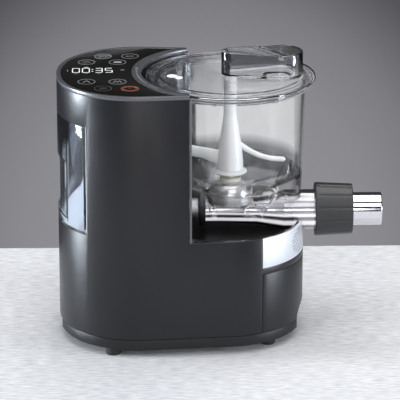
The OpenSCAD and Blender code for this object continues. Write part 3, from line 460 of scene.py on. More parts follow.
def easeGrip(work, sizes):
    # the flat grip of the storage box becomes a shallow one that follows the outline
    near = sizes["near"]

    def close(value, target):
        return abs(value / mm - target) < near

    def isLedge(face, low, high, flat):
        corners = face.verts
        return all(v.co.x / mm < flat + near for v in corners) and (
            all(close(v.co.z, low) for v in corners)
            or all(close(v.co.z, high) for v in corners)
            or all(close(v.co.x, flat) for v in corners)
        )

    for low, high, flat in sizes["faces"]:
        outer = [v.co for v in work.verts if close(v.co.z, low) and v.co.x / mm < flat - near]
        rim = {round(place.y / mm, 3): place.x / mm for place in outer}
        for across in sorted(rim):
            ledges = [f for f in work.faces if isLedge(f, low, high, flat)]
            around = {v for f in ledges for v in f.verts} | {e for f in ledges for e in f.edges}
            bmesh.ops.bisect_plane(
                work, geom=list(around) + ledges, dist=1e-6, plane_co=(0, across * mm, 0), plane_no=(0, 1, 0)
            )
        for v in work.verts:
            nearest = min(rim, key=lambda across: abs(across - v.co.y / mm))
            inFace = close(v.co.x, flat) and low - near < v.co.z / mm < high + near
            if inFace and abs(nearest - v.co.y / mm) < near:
                v.co.x = min(rim[nearest] + sizes["depth"], flat) * mm


roundingSizes = {
    # distance for joining points, then in degrees what counts as flat and what as a sharp edge
    "join": 2e-6,
    "flat": 0.3,
    "sharp": 30,
    "steps": 2,
}


def roundedMesh(node, edge):
    # the construction model's mesh with its edges rounded
    work = bmesh.new()
    work.from_mesh(frame["nodes"][node].data)
    s = roundingSizes
    bmesh.ops.remove_doubles(work, verts=work.verts, dist=s["join"])
    bmesh.ops.dissolve_limit(work, angle_limit=math.radians(s["flat"]), verts=work.verts, edges=work.edges)
    if node == "storage_box":
        easeGrip(work, gripSizes)
    sharp = [e for e in work.edges if e.is_manifold and e.calc_face_angle(0) > math.radians(s["sharp"])]
    bevelled(work, sharp, edge, s["steps"])
    return meshOf(work, node + "Shape")


roundedPieces = {
    # node: finish, edge radius
    "main_shell": ("housingPlastic", 0.8),
    "base_pan": ("baseBlack", 0.8),
    "rubber_feet": ("footRubber", 0.6),
    "horn_trims": ("bezelGrey", 0.3),
    "top_bezel": ("bezelGrey", 0.5),
    "control_glass": ("panelGlass", 0.3),
    "drawer_front": ("housingPlastic", 0.6),
    "storage_box": ("storageClear", 0.6),
    "barrel_end_cap": ("baseBlack", 0.5),
    "drive_coupling": ("steelSatin", 0.5),
    "drive_boss": ("baseBlack", 0.5),
    "mixer_skirt": ("skirtWhite", 0.8),
}
for pieceNode, (pieceFinish, pieceEdge) in roundedPieces.items():
    placed(pieceNode + "Shape", roundedMesh(pieceNode, pieceEdge), pieceFinish, pieceNode, (pieceNode,))
print("rounded pieces made", len(roundedPieces))


filletLimits = {
    # corners on the axis or nearly straight stay; a fillet takes at most this share of a side
    "axis": 0.01,
    "straight": 172,
    "share": 0.46,
}
joinDistance = 1e-6


def filleted(outline, radius, steps=3):
    # rounds every corner of a closed outline of (radius, height) points
    rounding = []
    for i, corner in enumerate(outline):
        here = Vector(corner)
        back = Vector(outline[i - 1]) - here
        ahead = Vector(outline[(i + 1) % len(outline)]) - here
        turn = back.angle(ahead)
        if here.x < filletLimits["axis"] or turn > math.radians(filletLimits["straight"]):
            rounding.append(here)
            continue
        share = filletLimits["share"]
        reach = min(radius / math.tan(turn / 2), back.length * share, ahead.length * share)
        start, end = here + back.normalized() * reach, here + ahead.normalized() * reach
        for k in range(steps + 1):
            t = k / steps
            rounding.append(start * (1 - t) ** 2 + here * 2 * t * (1 - t) + end * t ** 2)
    return rounding


def meshFrom(name, points, faces):
    work = bmesh.new()
    corners = [work.verts.new(Vector(p) * mm) for p in points]
    for face in faces:
        work.faces.new([corners[i] for i in face])
    bmesh.ops.remove_doubles(work, verts=work.verts, dist=joinDistance)
    bmesh.ops.recalc_face_normals(work, faces=work.faces)
    return meshOf(work, name)


def ringFaces(rings, count):
    # quads between neighbouring closed rings of points, the last ring joined to the first
    faces = []
    for a in range(rings):
        b = (a + 1) % rings
        for i in range(count):
            j = (i + 1) % count
            faces.append((a * count + i, b * count + i, b * count + j, a * count + j))
    return faces


def skinned(name, rings):
    # a closed solid through rings of points, with flat ends
    count, last = len(rings[0]), (len(rings) - 1) * len(rings[0])
    faces = ringFaces(len(rings), count)[:last] + [tuple(range(count)), tuple(range(last, last + count))]
    return meshFrom(name, [p for ring in rings for p in ring], faces)


def lathed(name, outlineAt, steps=192, axis=bowlX):
    # turns a closed outline round an upright axis; outlineAt may give it for each angle
    points = []
    for k in range(steps):
        angle = 2 * math.pi * k / steps
        outline = outlineAt(angle) if callable(outlineAt) else outlineAt
        points += [(axis + r * math.cos(angle), r * math.sin(angle), z) for r, z in outline]
    return meshFrom(name, points, ringFaces(steps, len(points) // steps))


def lathedAlongX(name, outline, steps=144, radiusAt=None):
    # turns a closed outline of (radius, x) points round the barrel's axis
    points = []
    for k in range(steps):
        angle = 2 * math.pi * k / steps
        for r, x in outline:
            grown = r if radiusAt is None else radiusAt(angle, r, x)
            points.append((bowlX + x, grown * math.cos(angle), barrelSizes["axis"] + grown * math.sin(angle)))
    return meshFrom(name, points, ringFaces(steps, len(outline)))


def combined(mesh, other, operation="DIFFERENCE"):
    # cuts one closed mesh out of another, or joins them
    body, tool = putInScene("body", mesh), putInScene("tool", other)
    change = body.modifiers.new("change", "BOOLEAN")
    change.operation, change.solver, change.object = operation, "EXACT", tool
    result = bpy.data.meshes.new_from_object(body.evaluated_get(bpy.context.evaluated_depsgraph_get()))
    bpy.data.objects.remove(body)
    bpy.data.objects.remove(tool)
    return result


def prism(points, low, high):
    # a thin closed plate over a flat outline
    return skinned("plate", [[(x, y, z) for x, y in points] for z in (low, high)])


def together(name, meshes):
    work = bmesh.new()
    for mesh in meshes:
        work.from_mesh(mesh)
    return meshOf(work, name)


throat = {"reach": 30.0, "neck": 23.8, "end": 16.8}


def throatOut(angle, grow):
    # distance from the axis to the oblong throat's outline, grown by grow
    neck, end, reach = throat["neck"] + grow, throat["end"] + grow, throat["reach"]
    tangent = math.acos((neck - end) / reach)
    turn = abs((angle + math.pi) % (2 * math.pi) - math.pi)
    if turn >= tangent:
        return neck
    along = neck / math.cos(turn - tangent)
    if along * math.cos(turn) <= reach + end * math.cos(tangent):
        return along
    return reach * math.cos(turn) + math.sqrt(end ** 2 - (reach * math.sin(turn)) ** 2)


bowlSizes = {
    "foot": (74.5, 157.0),
    "rim": (78.0, 271.5),
    "flange": 82.0,
    "flangeLow": 268.5,
    "wall": 2.5,
    "floorHigh": 176.0,
    "floorLow": 152.0,
    "floorStart": 26.2,
    "throatFoot": 151.6,
    "lugs": 8,
    "firstLug": -103.5,
    "lugReach": 2.4,
    "lugSides": (2.4, 2.0),
    "throatGap": 2.4,
    "fillet": 0.9,
}


def bowlOuter(z):
    (footR, footZ), (rimR, rimZ) = bowlSizes["foot"], bowlSizes["rim"]
    return footR + (rimR - footR) * (z - footZ) / (rimZ - footZ)


def bowlOutline(angle):
    b = bowlSizes
    wall, high, low = b["wall"], b["floorHigh"], b["throatFoot"]
    footR, footZ = b["foot"]
    rimR, rimZ = b["rim"]
    inner = bowlOuter(high) - wall
    slope = (high - b["floorLow"]) / (inner - b["floorStart"])
    hole = throatOut(angle, b["throatGap"])

    def floorAt(r):
        return b["floorLow"] + slope * (r - b["floorStart"])

    outline = [
        (footR, footZ),
        (bowlOuter(b["flangeLow"]), b["flangeLow"]),
        (b["flange"], b["flangeLow"]),
        (b["flange"], rimZ),
        (rimR - wall, rimZ),
        (inner, high),
        (hole, max(floorAt(hole), low + 0.6)),
        (hole, low),
        (hole + wall, low),
        (hole + wall, max(floorAt(hole + wall) - wall, low + 0.2)),
        (inner, high - wall),
        (footR - wall, footZ),
    ]
    return filleted(outline, b["fillet"])


def makeBowl():
    s = bowlSizes
    shells = [lathed("bowlWall", bowlOutline, 240)]
    near, far = s["flange"] - 0.6, s["flange"] + s["lugReach"]
    wide, narrow = s["lugSides"]
    for i in range(s["lugs"]):
        turn = math.radians(i * 360 / s["lugs"] + s["firstLug"])
        out, side = Vector((math.cos(turn), math.sin(turn))), Vector((-math.sin(turn), math.cos(turn)))
        corners = [out * r + side * w for r, w in ((near, -wide), (far, -narrow), (far, narrow), (near, wide))]
        shells.append(prism([(bowlX + c.x, c.y) for c in corners], s["flangeLow"] + 0.4, s["rim"][1] - 0.2))
    placed("bowlClearShell", together("bowlClearShell", shells), "bowlSmoke", "bowl", ("bowl",))


lidSizes = {
    "radius": 88.0,
    "window": 76.5,
    "top": 280.5,
    "wall": 2.5,
    "drop": 2.5,
    "skirtLow": 272.1,
    "skirt": 3.0,
    "collarTop": 305.0,
    "collarFloor": 281.5,
    "near": (2.5, -3.0, 12.0),
    "far": (52.0, -5.0, 22.5),
    "hole": (40.0, 54.0, -12.0, 7.5),
    "fillet": 1.0,
}


def hullOutline(near, far, count=120):
    # points round two circles joined by their outer tangents, with outward directions
    (x1, y1, r1), (x2, y2, r2) = near, far
    span = math.hypot(x2 - x1, y2 - y1)
    lean = math.atan2(y2 - y1, x2 - x1)
    half = math.acos((r1 - r2) / span)
    rest = 2 * math.pi - 2 * half
    points = [(x2, y2, r2, lean - half + 2 * half * k / (count - 1)) for k in range(count)]
    return points + [(x1, y1, r1, lean + half + rest * k / (count // 2 - 1)) for k in range(count // 2)]


def hullSolid(name, outline, levels):
    # closed solid through rings of (inset, z), with flat ends
    def ring(inset, z):
        return [(bowlX + x + (r - inset) * math.cos(a), y + (r - inset) * math.sin(a), z) for x, y, r, a in outline]

    return skinned(name, [ring(inset, z) for inset, z in levels])


def makeLid():
    s = lidSizes
    window, radius, skirt = s["window"], s["radius"], s["radius"] - s["skirt"]
    shoulder, under = s["top"] - s["drop"], s["top"] - s["wall"]
    plate = [
        (0, under),
        (window - 3, under),
        (window - 1.5, under - s["drop"]),
        (skirt, under - s["drop"]),
        (skirt, s["skirtLow"]),
        (radius, s["skirtLow"]),
        (radius, shoulder),
        (window + 1.5, shoulder),
        (window, s["top"]),
        (0, s["top"]),
    ]
    wall, top, low = s["wall"], s["collarTop"], s["collarFloor"]
    levels = [(0, under + 0.4), (0, top - 1), (0.3, top - 0.3), (0.9, top)]
    levels += [(wall - 0.6, top), (wall, top - 0.6), (wall, low + 0.6), (wall + 0.6, low)]
    collar = hullSolid("collar", hullOutline(s["near"], s["far"]), levels)
    lid = combined(lathed("lidPlate", filleted(plate, s["fillet"]), 240), collar, "UNION")
    x1, x2, y, r = s["hole"]
    hole = hullSolid("hole", hullOutline((x1, y, r), (x2, y, r), 48), [(0, s["top"] - 6), (0, s["top"] + 2)])
    placed("lidClearShell", combined(lid, hole), "lidSmoke", "lid", ("lid",))


sealSizes = {
    # a ring between the bowl's rim and the lid's plate
    "outline": [(79.6, 271.8), (84.5, 271.8), (84.5, 275.1), (81.0, 275.1), (80.6, 273.2)],
    "fillet": 0.4,
}


def makeSeal():
    outline = filleted(sealSizes["outline"], sealSizes["fillet"], 2)
    placed("lidSealRing", lathed("lidSealRing", outline, 144), "sealClear", "lid_seal", ("lid_seal",))


barrelSizes = {
    "axis": 130.5,
    "tail": (13.4, -28.0, -10.0),
    "middle": (15.5, 28.0),
    "outlet": (20.7, 56.0, 104.0),
    "wall": 2.2,
    "neckTop": 151.3,
    "neckFloor": 141.0,
    "gearRoom": 20.4,
    "feedRoom": 11.0,
    "shoulder": [(0.0, 9.0), (0.25, 6.0), (0.7, 3.4), (1.3, 1.4), (1.9, 0.0)],
}


def barrelOutline(inset, start, end):
    s = barrelSizes
    tail, outlet = s["tail"][0] - inset, s["outlet"][0] - inset
    return [
        (0, start),
        (tail, start),
        (tail, s["tail"][2]),
        (s["middle"][0] - inset, s["middle"][1]),
        (outlet, s["outlet"][1]),
        (outlet, end),
        (0, end),
    ]


def makeBarrel():
    s = barrelSizes
    axis, top, wall = s["axis"], s["neckTop"], s["wall"]
    start, end = s["tail"][1], s["outlet"][2]
    reach, room = throat["reach"], s["gearRoom"]
    throatLine = hullOutline((0, 0, throat["neck"]), (reach, 0, throat["end"]), 96)
    feedLine = hullOutline((reach - 0.2, 0, s["feedRoom"]), (reach, 0, s["feedRoom"]), 48)
    inner = lathedAlongX("inner", barrelOutline(wall, start - 1, end + 1))
    rooms = [
        hullSolid("neckRoom", throatLine, [(0, s["neckFloor"]), (0, top + 1)]),
        lathed("gearRoom", [(0, axis), (room, axis), (room, top), (0, top)], 96),
        hullSolid("feedRoom", feedLine, [(0, axis), (0, top)]),
    ]
    for other in rooms:
        inner = combined(inner, other, "UNION")
    tube = combined(lathedAlongX("outer", filleted(barrelOutline(0, start, end), 1.0)), inner)
    placed("barrelClearTube", tube, "barrelClear", "extruder_barrel", ("extruder_barrel",))
    # the neck's wall leans in at the top, towards the dome
    lean = [(-wall, axis)] + [(drop - wall, top - rise) for drop, rise in s["shoulder"]]
    hollow = hullSolid("hollow", throatLine, [(0, axis - 1), (0, top + 1)])
    neck = combined(hullSolid("neck", throatLine, lean), hollow)
    neck = combined(neck, lathedAlongX("outer", barrelOutline(-0.1, start - 1, end)))
    placed("barrelClearNeck", neck, "neckClear", "extruder_barrel", ("extruder_barrel",))


domeSizes = {"radius": 23.6, "base": 141.2, "shoulder": 149.0, "top": 164.5, "crown": 9.5, "shell": 2.0}


def makeDome():
    s = domeSizes
    crown, shoulder, hole = s["crown"], s["shoulder"], s["crown"] - 1
    turns = [math.radians(6 * i) for i in range(16)]

    def cap(radius, top):
        return [(crown + (radius - crown) * math.cos(t), shoulder + (top - shoulder) * math.sin(t)) for t in turns]

    outer, inner = (s["radius"], s["top"]), (s["radius"] - s["shell"], s["top"] - s["shell"])
    outline = [(outer[0], s["base"])] + cap(*outer) + [(hole, outer[1]), (hole, inner[1])]
    outline += cap(*inner)[::-1] + [(inner[0], s["base"])]
    placed("domeClearShell", lathed("domeClearShell", outline), "domeClear", "gear_dome", ("gear_dome",))


guideSizes = {
    # a fin that turns the dough down into the throat, drawn in its own plane
    "outline": [
        (46.5, 161.5), (48.6, 167.0), (51.6, 173.6), (54.6, 178.8), (56.6, 181.0), (58.4, 180.4),
        (60.4, 177.0), (62.6, 172.8), (66.0, 170.6), (66.0, 168.2), (56.0, 163.2),
    ],
    "half": 3.0,
    "edge": 0.8,
    "steps": 3,
    "corner": 1.2,  # edges that turn more than this, in radians, are rounded
}


def makeGuide():
    s = guideSizes
    sides = [[(bowlX + x, y, z) for x, z in s["outline"]] for y in (-s["half"], s["half"])]
    work = bmesh.new()
    work.from_mesh(skinned("guide", sides))
    rims = [e for e in work.edges if e.calc_face_angle(0) > s["corner"]]
    bevelled(work, rims, s["edge"], s["steps"])
    placed("doughGuideFin", meshOf(work, "doughGuideFin"), "darkInsert", "dough_guide", ("dough_guide",))


bayPanSizes = {
    "centre": -8.0,
    "radius": 80.5,
    "deck": 124.0,
    "under": 100.0,
    "inner": [
        (0, 110.5), (46, 110.5), (58, 111.0), (67, 112.6), (74, 115.6), (78.4, 119.4), (79.8, 122.4), (80.1, 124.0),
    ],
    "outer": [(80.5, 124.0), (80.5, 121.0), (76, 116.2), (68, 110.4), (57, 108.8), (46, 108.4), (0, 108.4)],
    "rods": ((17.2, -88.6, 86.0), (21.1, 27.0, 86.0)),
}


def makeBay():
    # the liner's deck, hollowed out round the barrel
    s = bayPanSizes
    centre, radius, under, over = bowlX + s["centre"], s["radius"], s["under"], s["deck"] + 0.4
    core = lathed("core", [(0, under), (radius, under), (radius, over), (0, over)], 192, centre)
    liner = combined(roundedMesh("bay_liner", 0.4), core)
    placed("bayLinerShape", liner, "bayGloss", "bay_liner", ("bay_liner",))
    pan = lathed("pan", s["inner"] + s["outer"], 192, centre)
    for thick, start, end in s["rods"]:
        rod = [(0, start), (thick, start), (thick, end), (0, end)]
        pan = combined(pan, lathedAlongX("rod", rod, 96))
    placed("bayPanShape", pan, "bayShade", "bay_liner", ("bay_liner",))


for makePiece in (makeBowl, makeLid, makeSeal, makeBarrel, makeDome, makeGuide, makeBay):
    makePiece()
print("clear pieces made")

screwSizes = {
    "start": 24.5,
    "end": 103.2,
    "core": 7.5,
    "coreOut": 13.0,
    "taperFrom": 28.0,
    "taperTo": 56.0,
    "pitch": 34.0,
    "thickness": 2.6,
    "clear": 0.5,
    "firstTurn": 40.0,
    "stepsPerTurn": 72,
}


def barrelInner(x):
    s = barrelSizes
    stations = [(s["tail"][2], s["tail"][0]), s["middle"][::-1], (s["outlet"][1], s["outlet"][0])]
    for (x0, r0), (x1, r1) in zip(stations, stations[1:]):
        if x < x1:
            return r0 + (r1 - r0) * (x - x0) / (x1 - x0) - s["wall"]
    return s["outlet"][0] - s["wall"]


def screwCore(x):
    s = screwSizes
    share = min(max((x - s["taperFrom"]) / (s["taperTo"] - s["taperFrom"]), 0), 1)
    return s["core"] + (s["coreOut"] - s["core"]) * share


def screwFlight():
    s = screwSizes
    half, perTurn = s["thickness"] / 2, s["stepsPerTurn"]
    start = s["start"] + 0.5 + half
    count = int((s["end"] - s["start"] - 0.5 - s["thickness"]) / s["pitch"] * perTurn)
    rings = []
    for i in range(count + 1):
        x = start + i * s["pitch"] / perTurn
        turn = -math.radians(s["firstTurn"] + 360 * i / perTurn)
        tip = barrelInner(x - s["thickness"]) - s["clear"]
        profile = [(screwCore(x - s["thickness"]) - 0.5, 1), (tip - 0.7, 0.8), (tip, 0.35)]
        line = [(r, -half * share) for r, share in profile] + [(r, half * share) for r, share in profile[::-1]]
        rings.append(
            [(bowlX + x + shift, r * math.sin(turn), barrelSizes["axis"] + r * math.cos(turn)) for r, shift in line]
        )
    return skinned("flight", rings)


def makeScrew():
    s = screwSizes
    core, out, start, end = s["core"], s["coreOut"], s["start"], s["end"]
    outline = [(0, start), (core, start), (core, s["taperFrom"]), (out, s["taperTo"]), (out, end), (0, end)]
    body = lathedAlongX("core", filleted(outline, 1.0))
    drive = bmesh.new()
    drive.from_mesh(frame["nodes"]["auger"].data)
    bmesh.ops.remove_doubles(drive, verts=drive.verts, dist=roundingSizes["join"])
    cut = Vector(((bowlX + start - 0.05) * mm, 0, 0))
    everything = drive.verts[:] + drive.edges[:] + drive.faces[:]
    made = bmesh.ops.bisect_plane(drive, geom=everything, plane_co=cut, plane_no=(1, 0, 0), clear_outer=True)
    bmesh.ops.contextual_create(drive, geom=[e for e in made["geom_cut"] if isinstance(e, bmesh.types.BMEdge)])
    whole = together("screwSteelBody", [body, screwFlight(), meshOf(drive, "drive")])
    placed("screwSteelBody", whole, "steelPolished", "auger", ("auger",))


mixerSizes = {
    "low": 177.5,
    "body": [(13.7, 0), (13.6, 3), (13.1, 12.5), (11.2, 28.5), (8.4, 46.5), (7.0, 57), (6.8, 62), (6.8, 93.5)],
    "top": 95.5,
    "hole": 4.4,
    "holeDepth": 22.5,
    "armReach": 58.0,
    "armLow": 6.5,
    "armHigh": 32.5,
    "armThick": 2.6,
    "armSteps": 26,
    "armTip": 0.955,  # share of the arm at which its tip begins to round off
}


def smoothed(points, steps=4):
    # a smooth line through the points
    line = []
    for i in range(len(points) - 1):
        p0, p1 = Vector(points[max(i - 1, 0)]), Vector(points[i])
        p2, p3 = Vector(points[i + 1]), Vector(points[min(i + 2, len(points) - 1)])
        for k in range(steps):
            t = k / steps
            square, cube = 2 * p0 - 5 * p1 + 4 * p2 - p3, 3 * p1 - p0 - 3 * p2 + p3
            line.append(0.5 * (2 * p1 + (p2 - p0) * t + square * t ** 2 + cube * t ** 3))
    return line + [Vector(points[-1])]


def tube(name, path, radii, sides=20):
    # a closed round bar along a path in the mixer's own plane; radii are (across, up)
    rings = []
    for i, here in enumerate(path):
        ahead = (path[min(i + 1, len(path) - 1)] - path[max(i - 1, 0)]).normalized()
        across, up = Vector((0, radii[i][0], 0)), Vector((-ahead.z, 0, ahead.x)) * radii[i][1]
        turns = [2 * math.pi * k / sides for k in range(sides)]
        rings.append([here + across * math.cos(a) + up * math.sin(a) for a in turns])
    return skinned(name, rings)


def mixerArm():
    s = mixerSizes
    tip, fall = s["armTip"], s["armHigh"] - s["armLow"]
    path, radii = [], []
    for i in range(s["armSteps"] + 1):
        t = i / s["armSteps"]
        z = s["low"] + s["armLow"] + fall * (1 - t) ** 2.4 + s["armThick"]
        fade = math.sqrt(max(1 - max((t - tip) / (1 - tip), 0) ** 2, 0.0004))
        path.append(Vector((bowlX + s["armReach"] * t, 0, z)))
        radii.append((2.5 * fade, (s["armThick"] + 0.5 * (1 - t)) * fade))
    return tube("mixerArm", path, radii)


bladeSizes = {
    "outline": [
        (-9, 19.2), (-12, 19.5), (-60, 28.5), (-66, 25.5), (-66, 19.5),
        (-56, 16.5), (-30, 11.5), (-12, 3.8), (-9, 3.6),
    ],
    "half": 2.5,
    "fillet": 1.4,
    "corner": 2.2,
}


def mixerBlade():
    s = bladeSizes
    line = filleted([(-x, z) for x, z in s["outline"]], s["corner"], 4)
    half, inset = s["half"], s["fillet"]
    middle = sum((Vector(p) for p in line), Vector((0, 0))) / len(line)
    levels = [(half, inset), (half - inset * 0.4, inset * 0.3), (half - inset, 0)]
    rings = []
    for y, shrink in [(-y, shrink) for y, shrink in levels] + levels[::-1]:
        ring = []
        for i, p in enumerate(line):
            along = (line[(i + 1) % len(line)] - line[i - 1]).normalized()
            outward = Vector((along.y, -along.x))
            if outward.dot(p - middle) < -1:
                outward.negate()
            q = p - outward * shrink
            ring.append((bowlX - q.x, y, mixerSizes["low"] + q.y))
        rings.append(ring)
    return skinned("mixerBlade", rings)


def makeMixer():
    s = mixerSizes
    low, hole, roof = s["low"], s["hole"], s["low"] + s["holeDepth"]
    top = low + s["top"]
    outline = [(0, roof), (hole, roof), (hole, low)] + [(r, low + z) for r, z in smoothed(s["body"])]
    outline += [(6.3, top - 1.0), (5.2, top - 0.3), (4.0, top), (0, top)]
    whole = together("mixerWhiteBody", [lathed("mixerBody", outline, 96), mixerArm(), mixerBlade()])
    placed("mixerWhiteBody", whole, "mixerWhite", "mixer", ("mixer",))


nutSizes = {
    "start": 88.8,
    "end": 128.2,
    "radius": 28.2,
    "taper": 1.8,
    "bore": 21.1,
    "boreEnd": 110.8,
    "mouth": 17.6,
    "flutes": 12,
    "firstFlute": 100.0,
    "groove": 0.9,
    "grooveHalf": 4.5,
    "flat": 0.07,
    "fillet": 1.2,
}


def makeNut():
    s = nutSizes
    start, end, radius = s["start"], s["end"], s["radius"]
    small, edge, step = radius - s["taper"], s["taper"] / 10, 2 * math.pi / s["flutes"]
    corners = [
        (s["bore"], start),
        (radius - 0.2, start),
        (radius, start + 3),
        (radius - edge, start + 6),
        (small + edge, end - 3),
        (small, end),
        (s["mouth"], end),
        (s["mouth"], s["boreEnd"]),
        (s["bore"], s["boreEnd"]),
    ]

    def gripped(angle, r, x):
        if r < small - 3 or x < start + 3.5:
            return r
        place = (angle - math.radians(s["firstFlute"]) + step / 2) % step - step / 2
        depth = math.exp(-((math.degrees(place) / (s["grooveHalf"] / 2)) ** 2)) * s["groove"]
        return r - depth - (1 - math.cos(abs(place) - step / 2)) * r * s["flat"]

    mesh = lathedAlongX("nutBlackGrip", filleted(corners, s["fillet"], 4), 360, gripped)
    placed("nutBlackGrip", mesh, "nutSoft", "ring_nut", ("ring_nut",), 40)


nozzleSizes = {
    "start": 107.6, "flange": 20.3, "flangeEnd": 110.4, "radius": 17.2, "end": 159.0, "bore": 13.8, "fillet": 1.6,
}


def makeNozzle():
    s = nozzleSizes
    bore, flange, radius = s["bore"], s["flange"], s["radius"]
    start, step, end = s["start"], s["flangeEnd"], s["end"]
    corners = [(bore, start), (flange, start), (flange, step), (radius, step), (radius, end), (bore, end)]
    mesh = lathedAlongX("nozzleChromeTube", filleted(corners, s["fillet"], 6), 192)
    placed("nozzleChromeTube", mesh, "nozzleChrome", "nozzle", ("nozzle",), 50)


for makePiece in (makeScrew, makeMixer, makeNut, makeNozzle):
    makePiece()
print("screw, mixer, nut and nozzle made")

bandSizes = {
    "centre": -8.0,
    "outer": 85.0,
    "inner": 82.5,
    "low": 91.7,
    "high": 123.8,
    "end": 62.1,
    "steps": 124,
    "fillet": 0.35,
    "notch": 21.3,
    "rows": 9,
    "columns": 27,
    "rowStep": 3.1,
    "columnStep": 2.7,
    "hole": 1.15,
    "fieldEnd": 33.0,
    "margin": 1.6,
}


def bandBlank(s):
    inner, outer, low, high = s["inner"], s["outer"], s["low"], s["high"]
    outline = filleted([(inner, low), (outer, low), (outer, high), (inner, high)], s["fillet"], 2)
    rings = []
    for k in range(s["steps"] + 1):
        angle = math.radians(s["end"]) * (2 * k / s["steps"] - 1)
        rings.append([(bowlX + s["centre"] + p.x * math.cos(angle), p.x * math.sin(angle), p.y) for p in outline])
    notch = [(0, 0), (s["notch"], 0), (s["notch"], outer + 20), (0, outer + 20)]
    return combined(skinned("bandBlank", rings), lathedAlongX("notch", notch, 96))


def buildPunch():
    # punches rows of small holes through a band bent round an upright axis
    inputs = {"Band": "Geometry", "Rows": "Int", "Columns": "Int", "Centre": "Vector", "Finish": "Material"}
    lengths = ("Row Step", "Column Step", "Hole", "Radius", "Field End", "Notch Height", "Notch Radius")
    inputs.update({label: "Float" for label in lengths})
    tree, given, result = startGroup("punchedBand", "GeometryNodeTree", inputs, {"Band": "Geometry"})

    def do(operation, *values):
        return calc(tree, operation, *values)

    # every other row is half a step further on
    index = add(tree, "GeometryNodeInputIndex").outputs["Index"]
    row = do("FLOOR", do("DIVIDE", do("ADD", index, 0.5), given["Columns"]))
    column = do("SUBTRACT", index, do("MULTIPLY", row, given["Columns"]))
    along = do("ADD", column, do("MULTIPLY", do("MODULO", row, 2), 0.5))
    middle = do("MULTIPLY", do("SUBTRACT", given["Columns"], 0.5), 0.5)
    angle = do("MULTIPLY", do("SUBTRACT", along, middle), given["Column Step"])
    middleRow = do("MULTIPLY", do("SUBTRACT", given["Rows"], 1), 0.5)
    rise = do("MULTIPLY", do("SUBTRACT", row, middleRow), given["Row Step"])
    outward = do("MULTIPLY", do("COSINE", angle), given["Radius"])
    sideways = do("MULTIPLY", do("SINE", angle), given["Radius"])
    bent = add(tree, "ShaderNodeCombineXYZ", {"X": outward, "Y": sideways, "Z": rise}).outputs["Vector"]
    place = vectors(tree, "ADD", bent, given["Centre"])["Vector"]
    # no holes near the barrel's notch, nor outside a field with bulging ends
    y, z = apart(tree, place)[1:]
    away = do("SQRT", do("ADD", do("POWER", y, 2), do("POWER", do("SUBTRACT", z, given["Notch Height"]), 2)))
    inNotch = do("LESS_THAN", away, given["Notch Radius"])
    halfHeight = do("MULTIPLY", do("MULTIPLY", given["Rows"], 0.5), given["Row Step"])
    bulge = do("SUBTRACT", 1, do("MULTIPLY", do("POWER", do("DIVIDE", rise, halfHeight), 2), 0.24))
    outside = do("GREATER_THAN", do("ABSOLUTE", angle), do("MULTIPLY", bulge, given["Field End"]))
    unwanted = do("GREATER_THAN", do("ADD", inNotch, outside), 0.5)

    def step(kind, output="Geometry", feeds=None, **settings):
        return add(tree, "GeometryNode" + kind, feeds, **settings).outputs[output]

    points = step("Points", 0, {"Count": do("MULTIPLY", given["Rows"], given["Columns"])})
    points = step("SetPosition", feeds={"Geometry": points, "Position": place})
    turn = add(tree, "ShaderNodeCombineXYZ", {"Z": angle}).outputs["Vector"]
    named = {"Geometry": points, "Name": "turn", "Value": turn}
    points = step("StoreNamedAttribute", feeds=named, data_type="FLOAT_VECTOR")
    points = step("DeleteGeometry", feeds={"Geometry": points, "Selection": unwanted}, domain="POINT")
    known = step("InputNamedAttribute", "Attribute", {"Name": "turn"}, data_type="FLOAT_VECTOR")
    punch = step("MeshCylinder", "Mesh", {"Vertices": 10, "Depth": 8 * mm, "Radius": given["Hole"]})
    punch = step("Transform", feeds={"Geometry": punch, "Rotation": (0, math.pi / 2, 0)})
    punches = step("InstanceOnPoints", "Instances", {"Points": points, "Instance": punch, "Rotation": known})
    punches = step("RealizeInstances", feeds={"Geometry": punches})
    meshes = {"Mesh 1": given["Band"], "Mesh 2": punches}
    cut = step("MeshBoolean", "Mesh", meshes, operation="DIFFERENCE", solver="EXACT")
    finished = step("SetMaterial", feeds={"Geometry": cut, "Material": given["Finish"]})
    feed(tree, result["Band"], finished)
    return tree


def makeBand():
    s = bandSizes
    tree = buildPunch()
    blank = putInScene("bandBlank", bandBlank(s))
    punched = blank.modifiers.new("punched", "NODES")
    punched.node_group = tree
    values = {
        "Rows": s["rows"],
        "Columns": s["columns"],
        "Row Step": s["rowStep"] * mm,
        "Column Step": math.radians(s["columnStep"]),
        "Hole": s["hole"] * mm,
        "Radius": s["outer"] * mm,
        "Centre": ((bowlX + s["centre"]) * mm, 0, (s["low"] + s["high"]) / 2 * mm),
        "Field End": math.radians(s["fieldEnd"]),
        "Notch Height": barrelSizes["axis"] * mm,
        "Notch Radius": (s["notch"] + s["margin"]) * mm,
        "Finish": materials["bandAluminium"],
    }
    for item in tree.interface.items_tree:
        if item.in_out == "INPUT" and item.name in values:
            punched[item.identifier] = values[item.name]
    mesh = bpy.data.meshes.new_from_object(blank.evaluated_get(bpy.context.evaluated_depsgraph_get()))
    bpy.data.objects.remove(blank)
    print("band faces", len(mesh.polygons), "points", len(mesh.vertices))
    placed("bandPunched", mesh, "bandAluminium", "vent_band", ("vent_band",))


makeBand()

markSizes = {
    "glass": 281.8,
    "strip": 282.0,
    "thick": 0.12,
    # radius and width of the lines that make a ring, plain and lit
    "ring": ((8.75, 0.5),),
    "litRing": ((8.65, 0.7), (6.6, 0.45)),
    "line": 0.75,
    "fine": 0.5,
    "lockRadius": 97.0,
    "pointer": 173.5,
    "lockBars": (177.5, 180.5, 211.5, 214.5, 217.5),
    "lockArc": (184.0, 207.0),
    "bubbles": ((-60.6, -12.3, 5.4), (-53.8, -18.6, 4.2)),
}


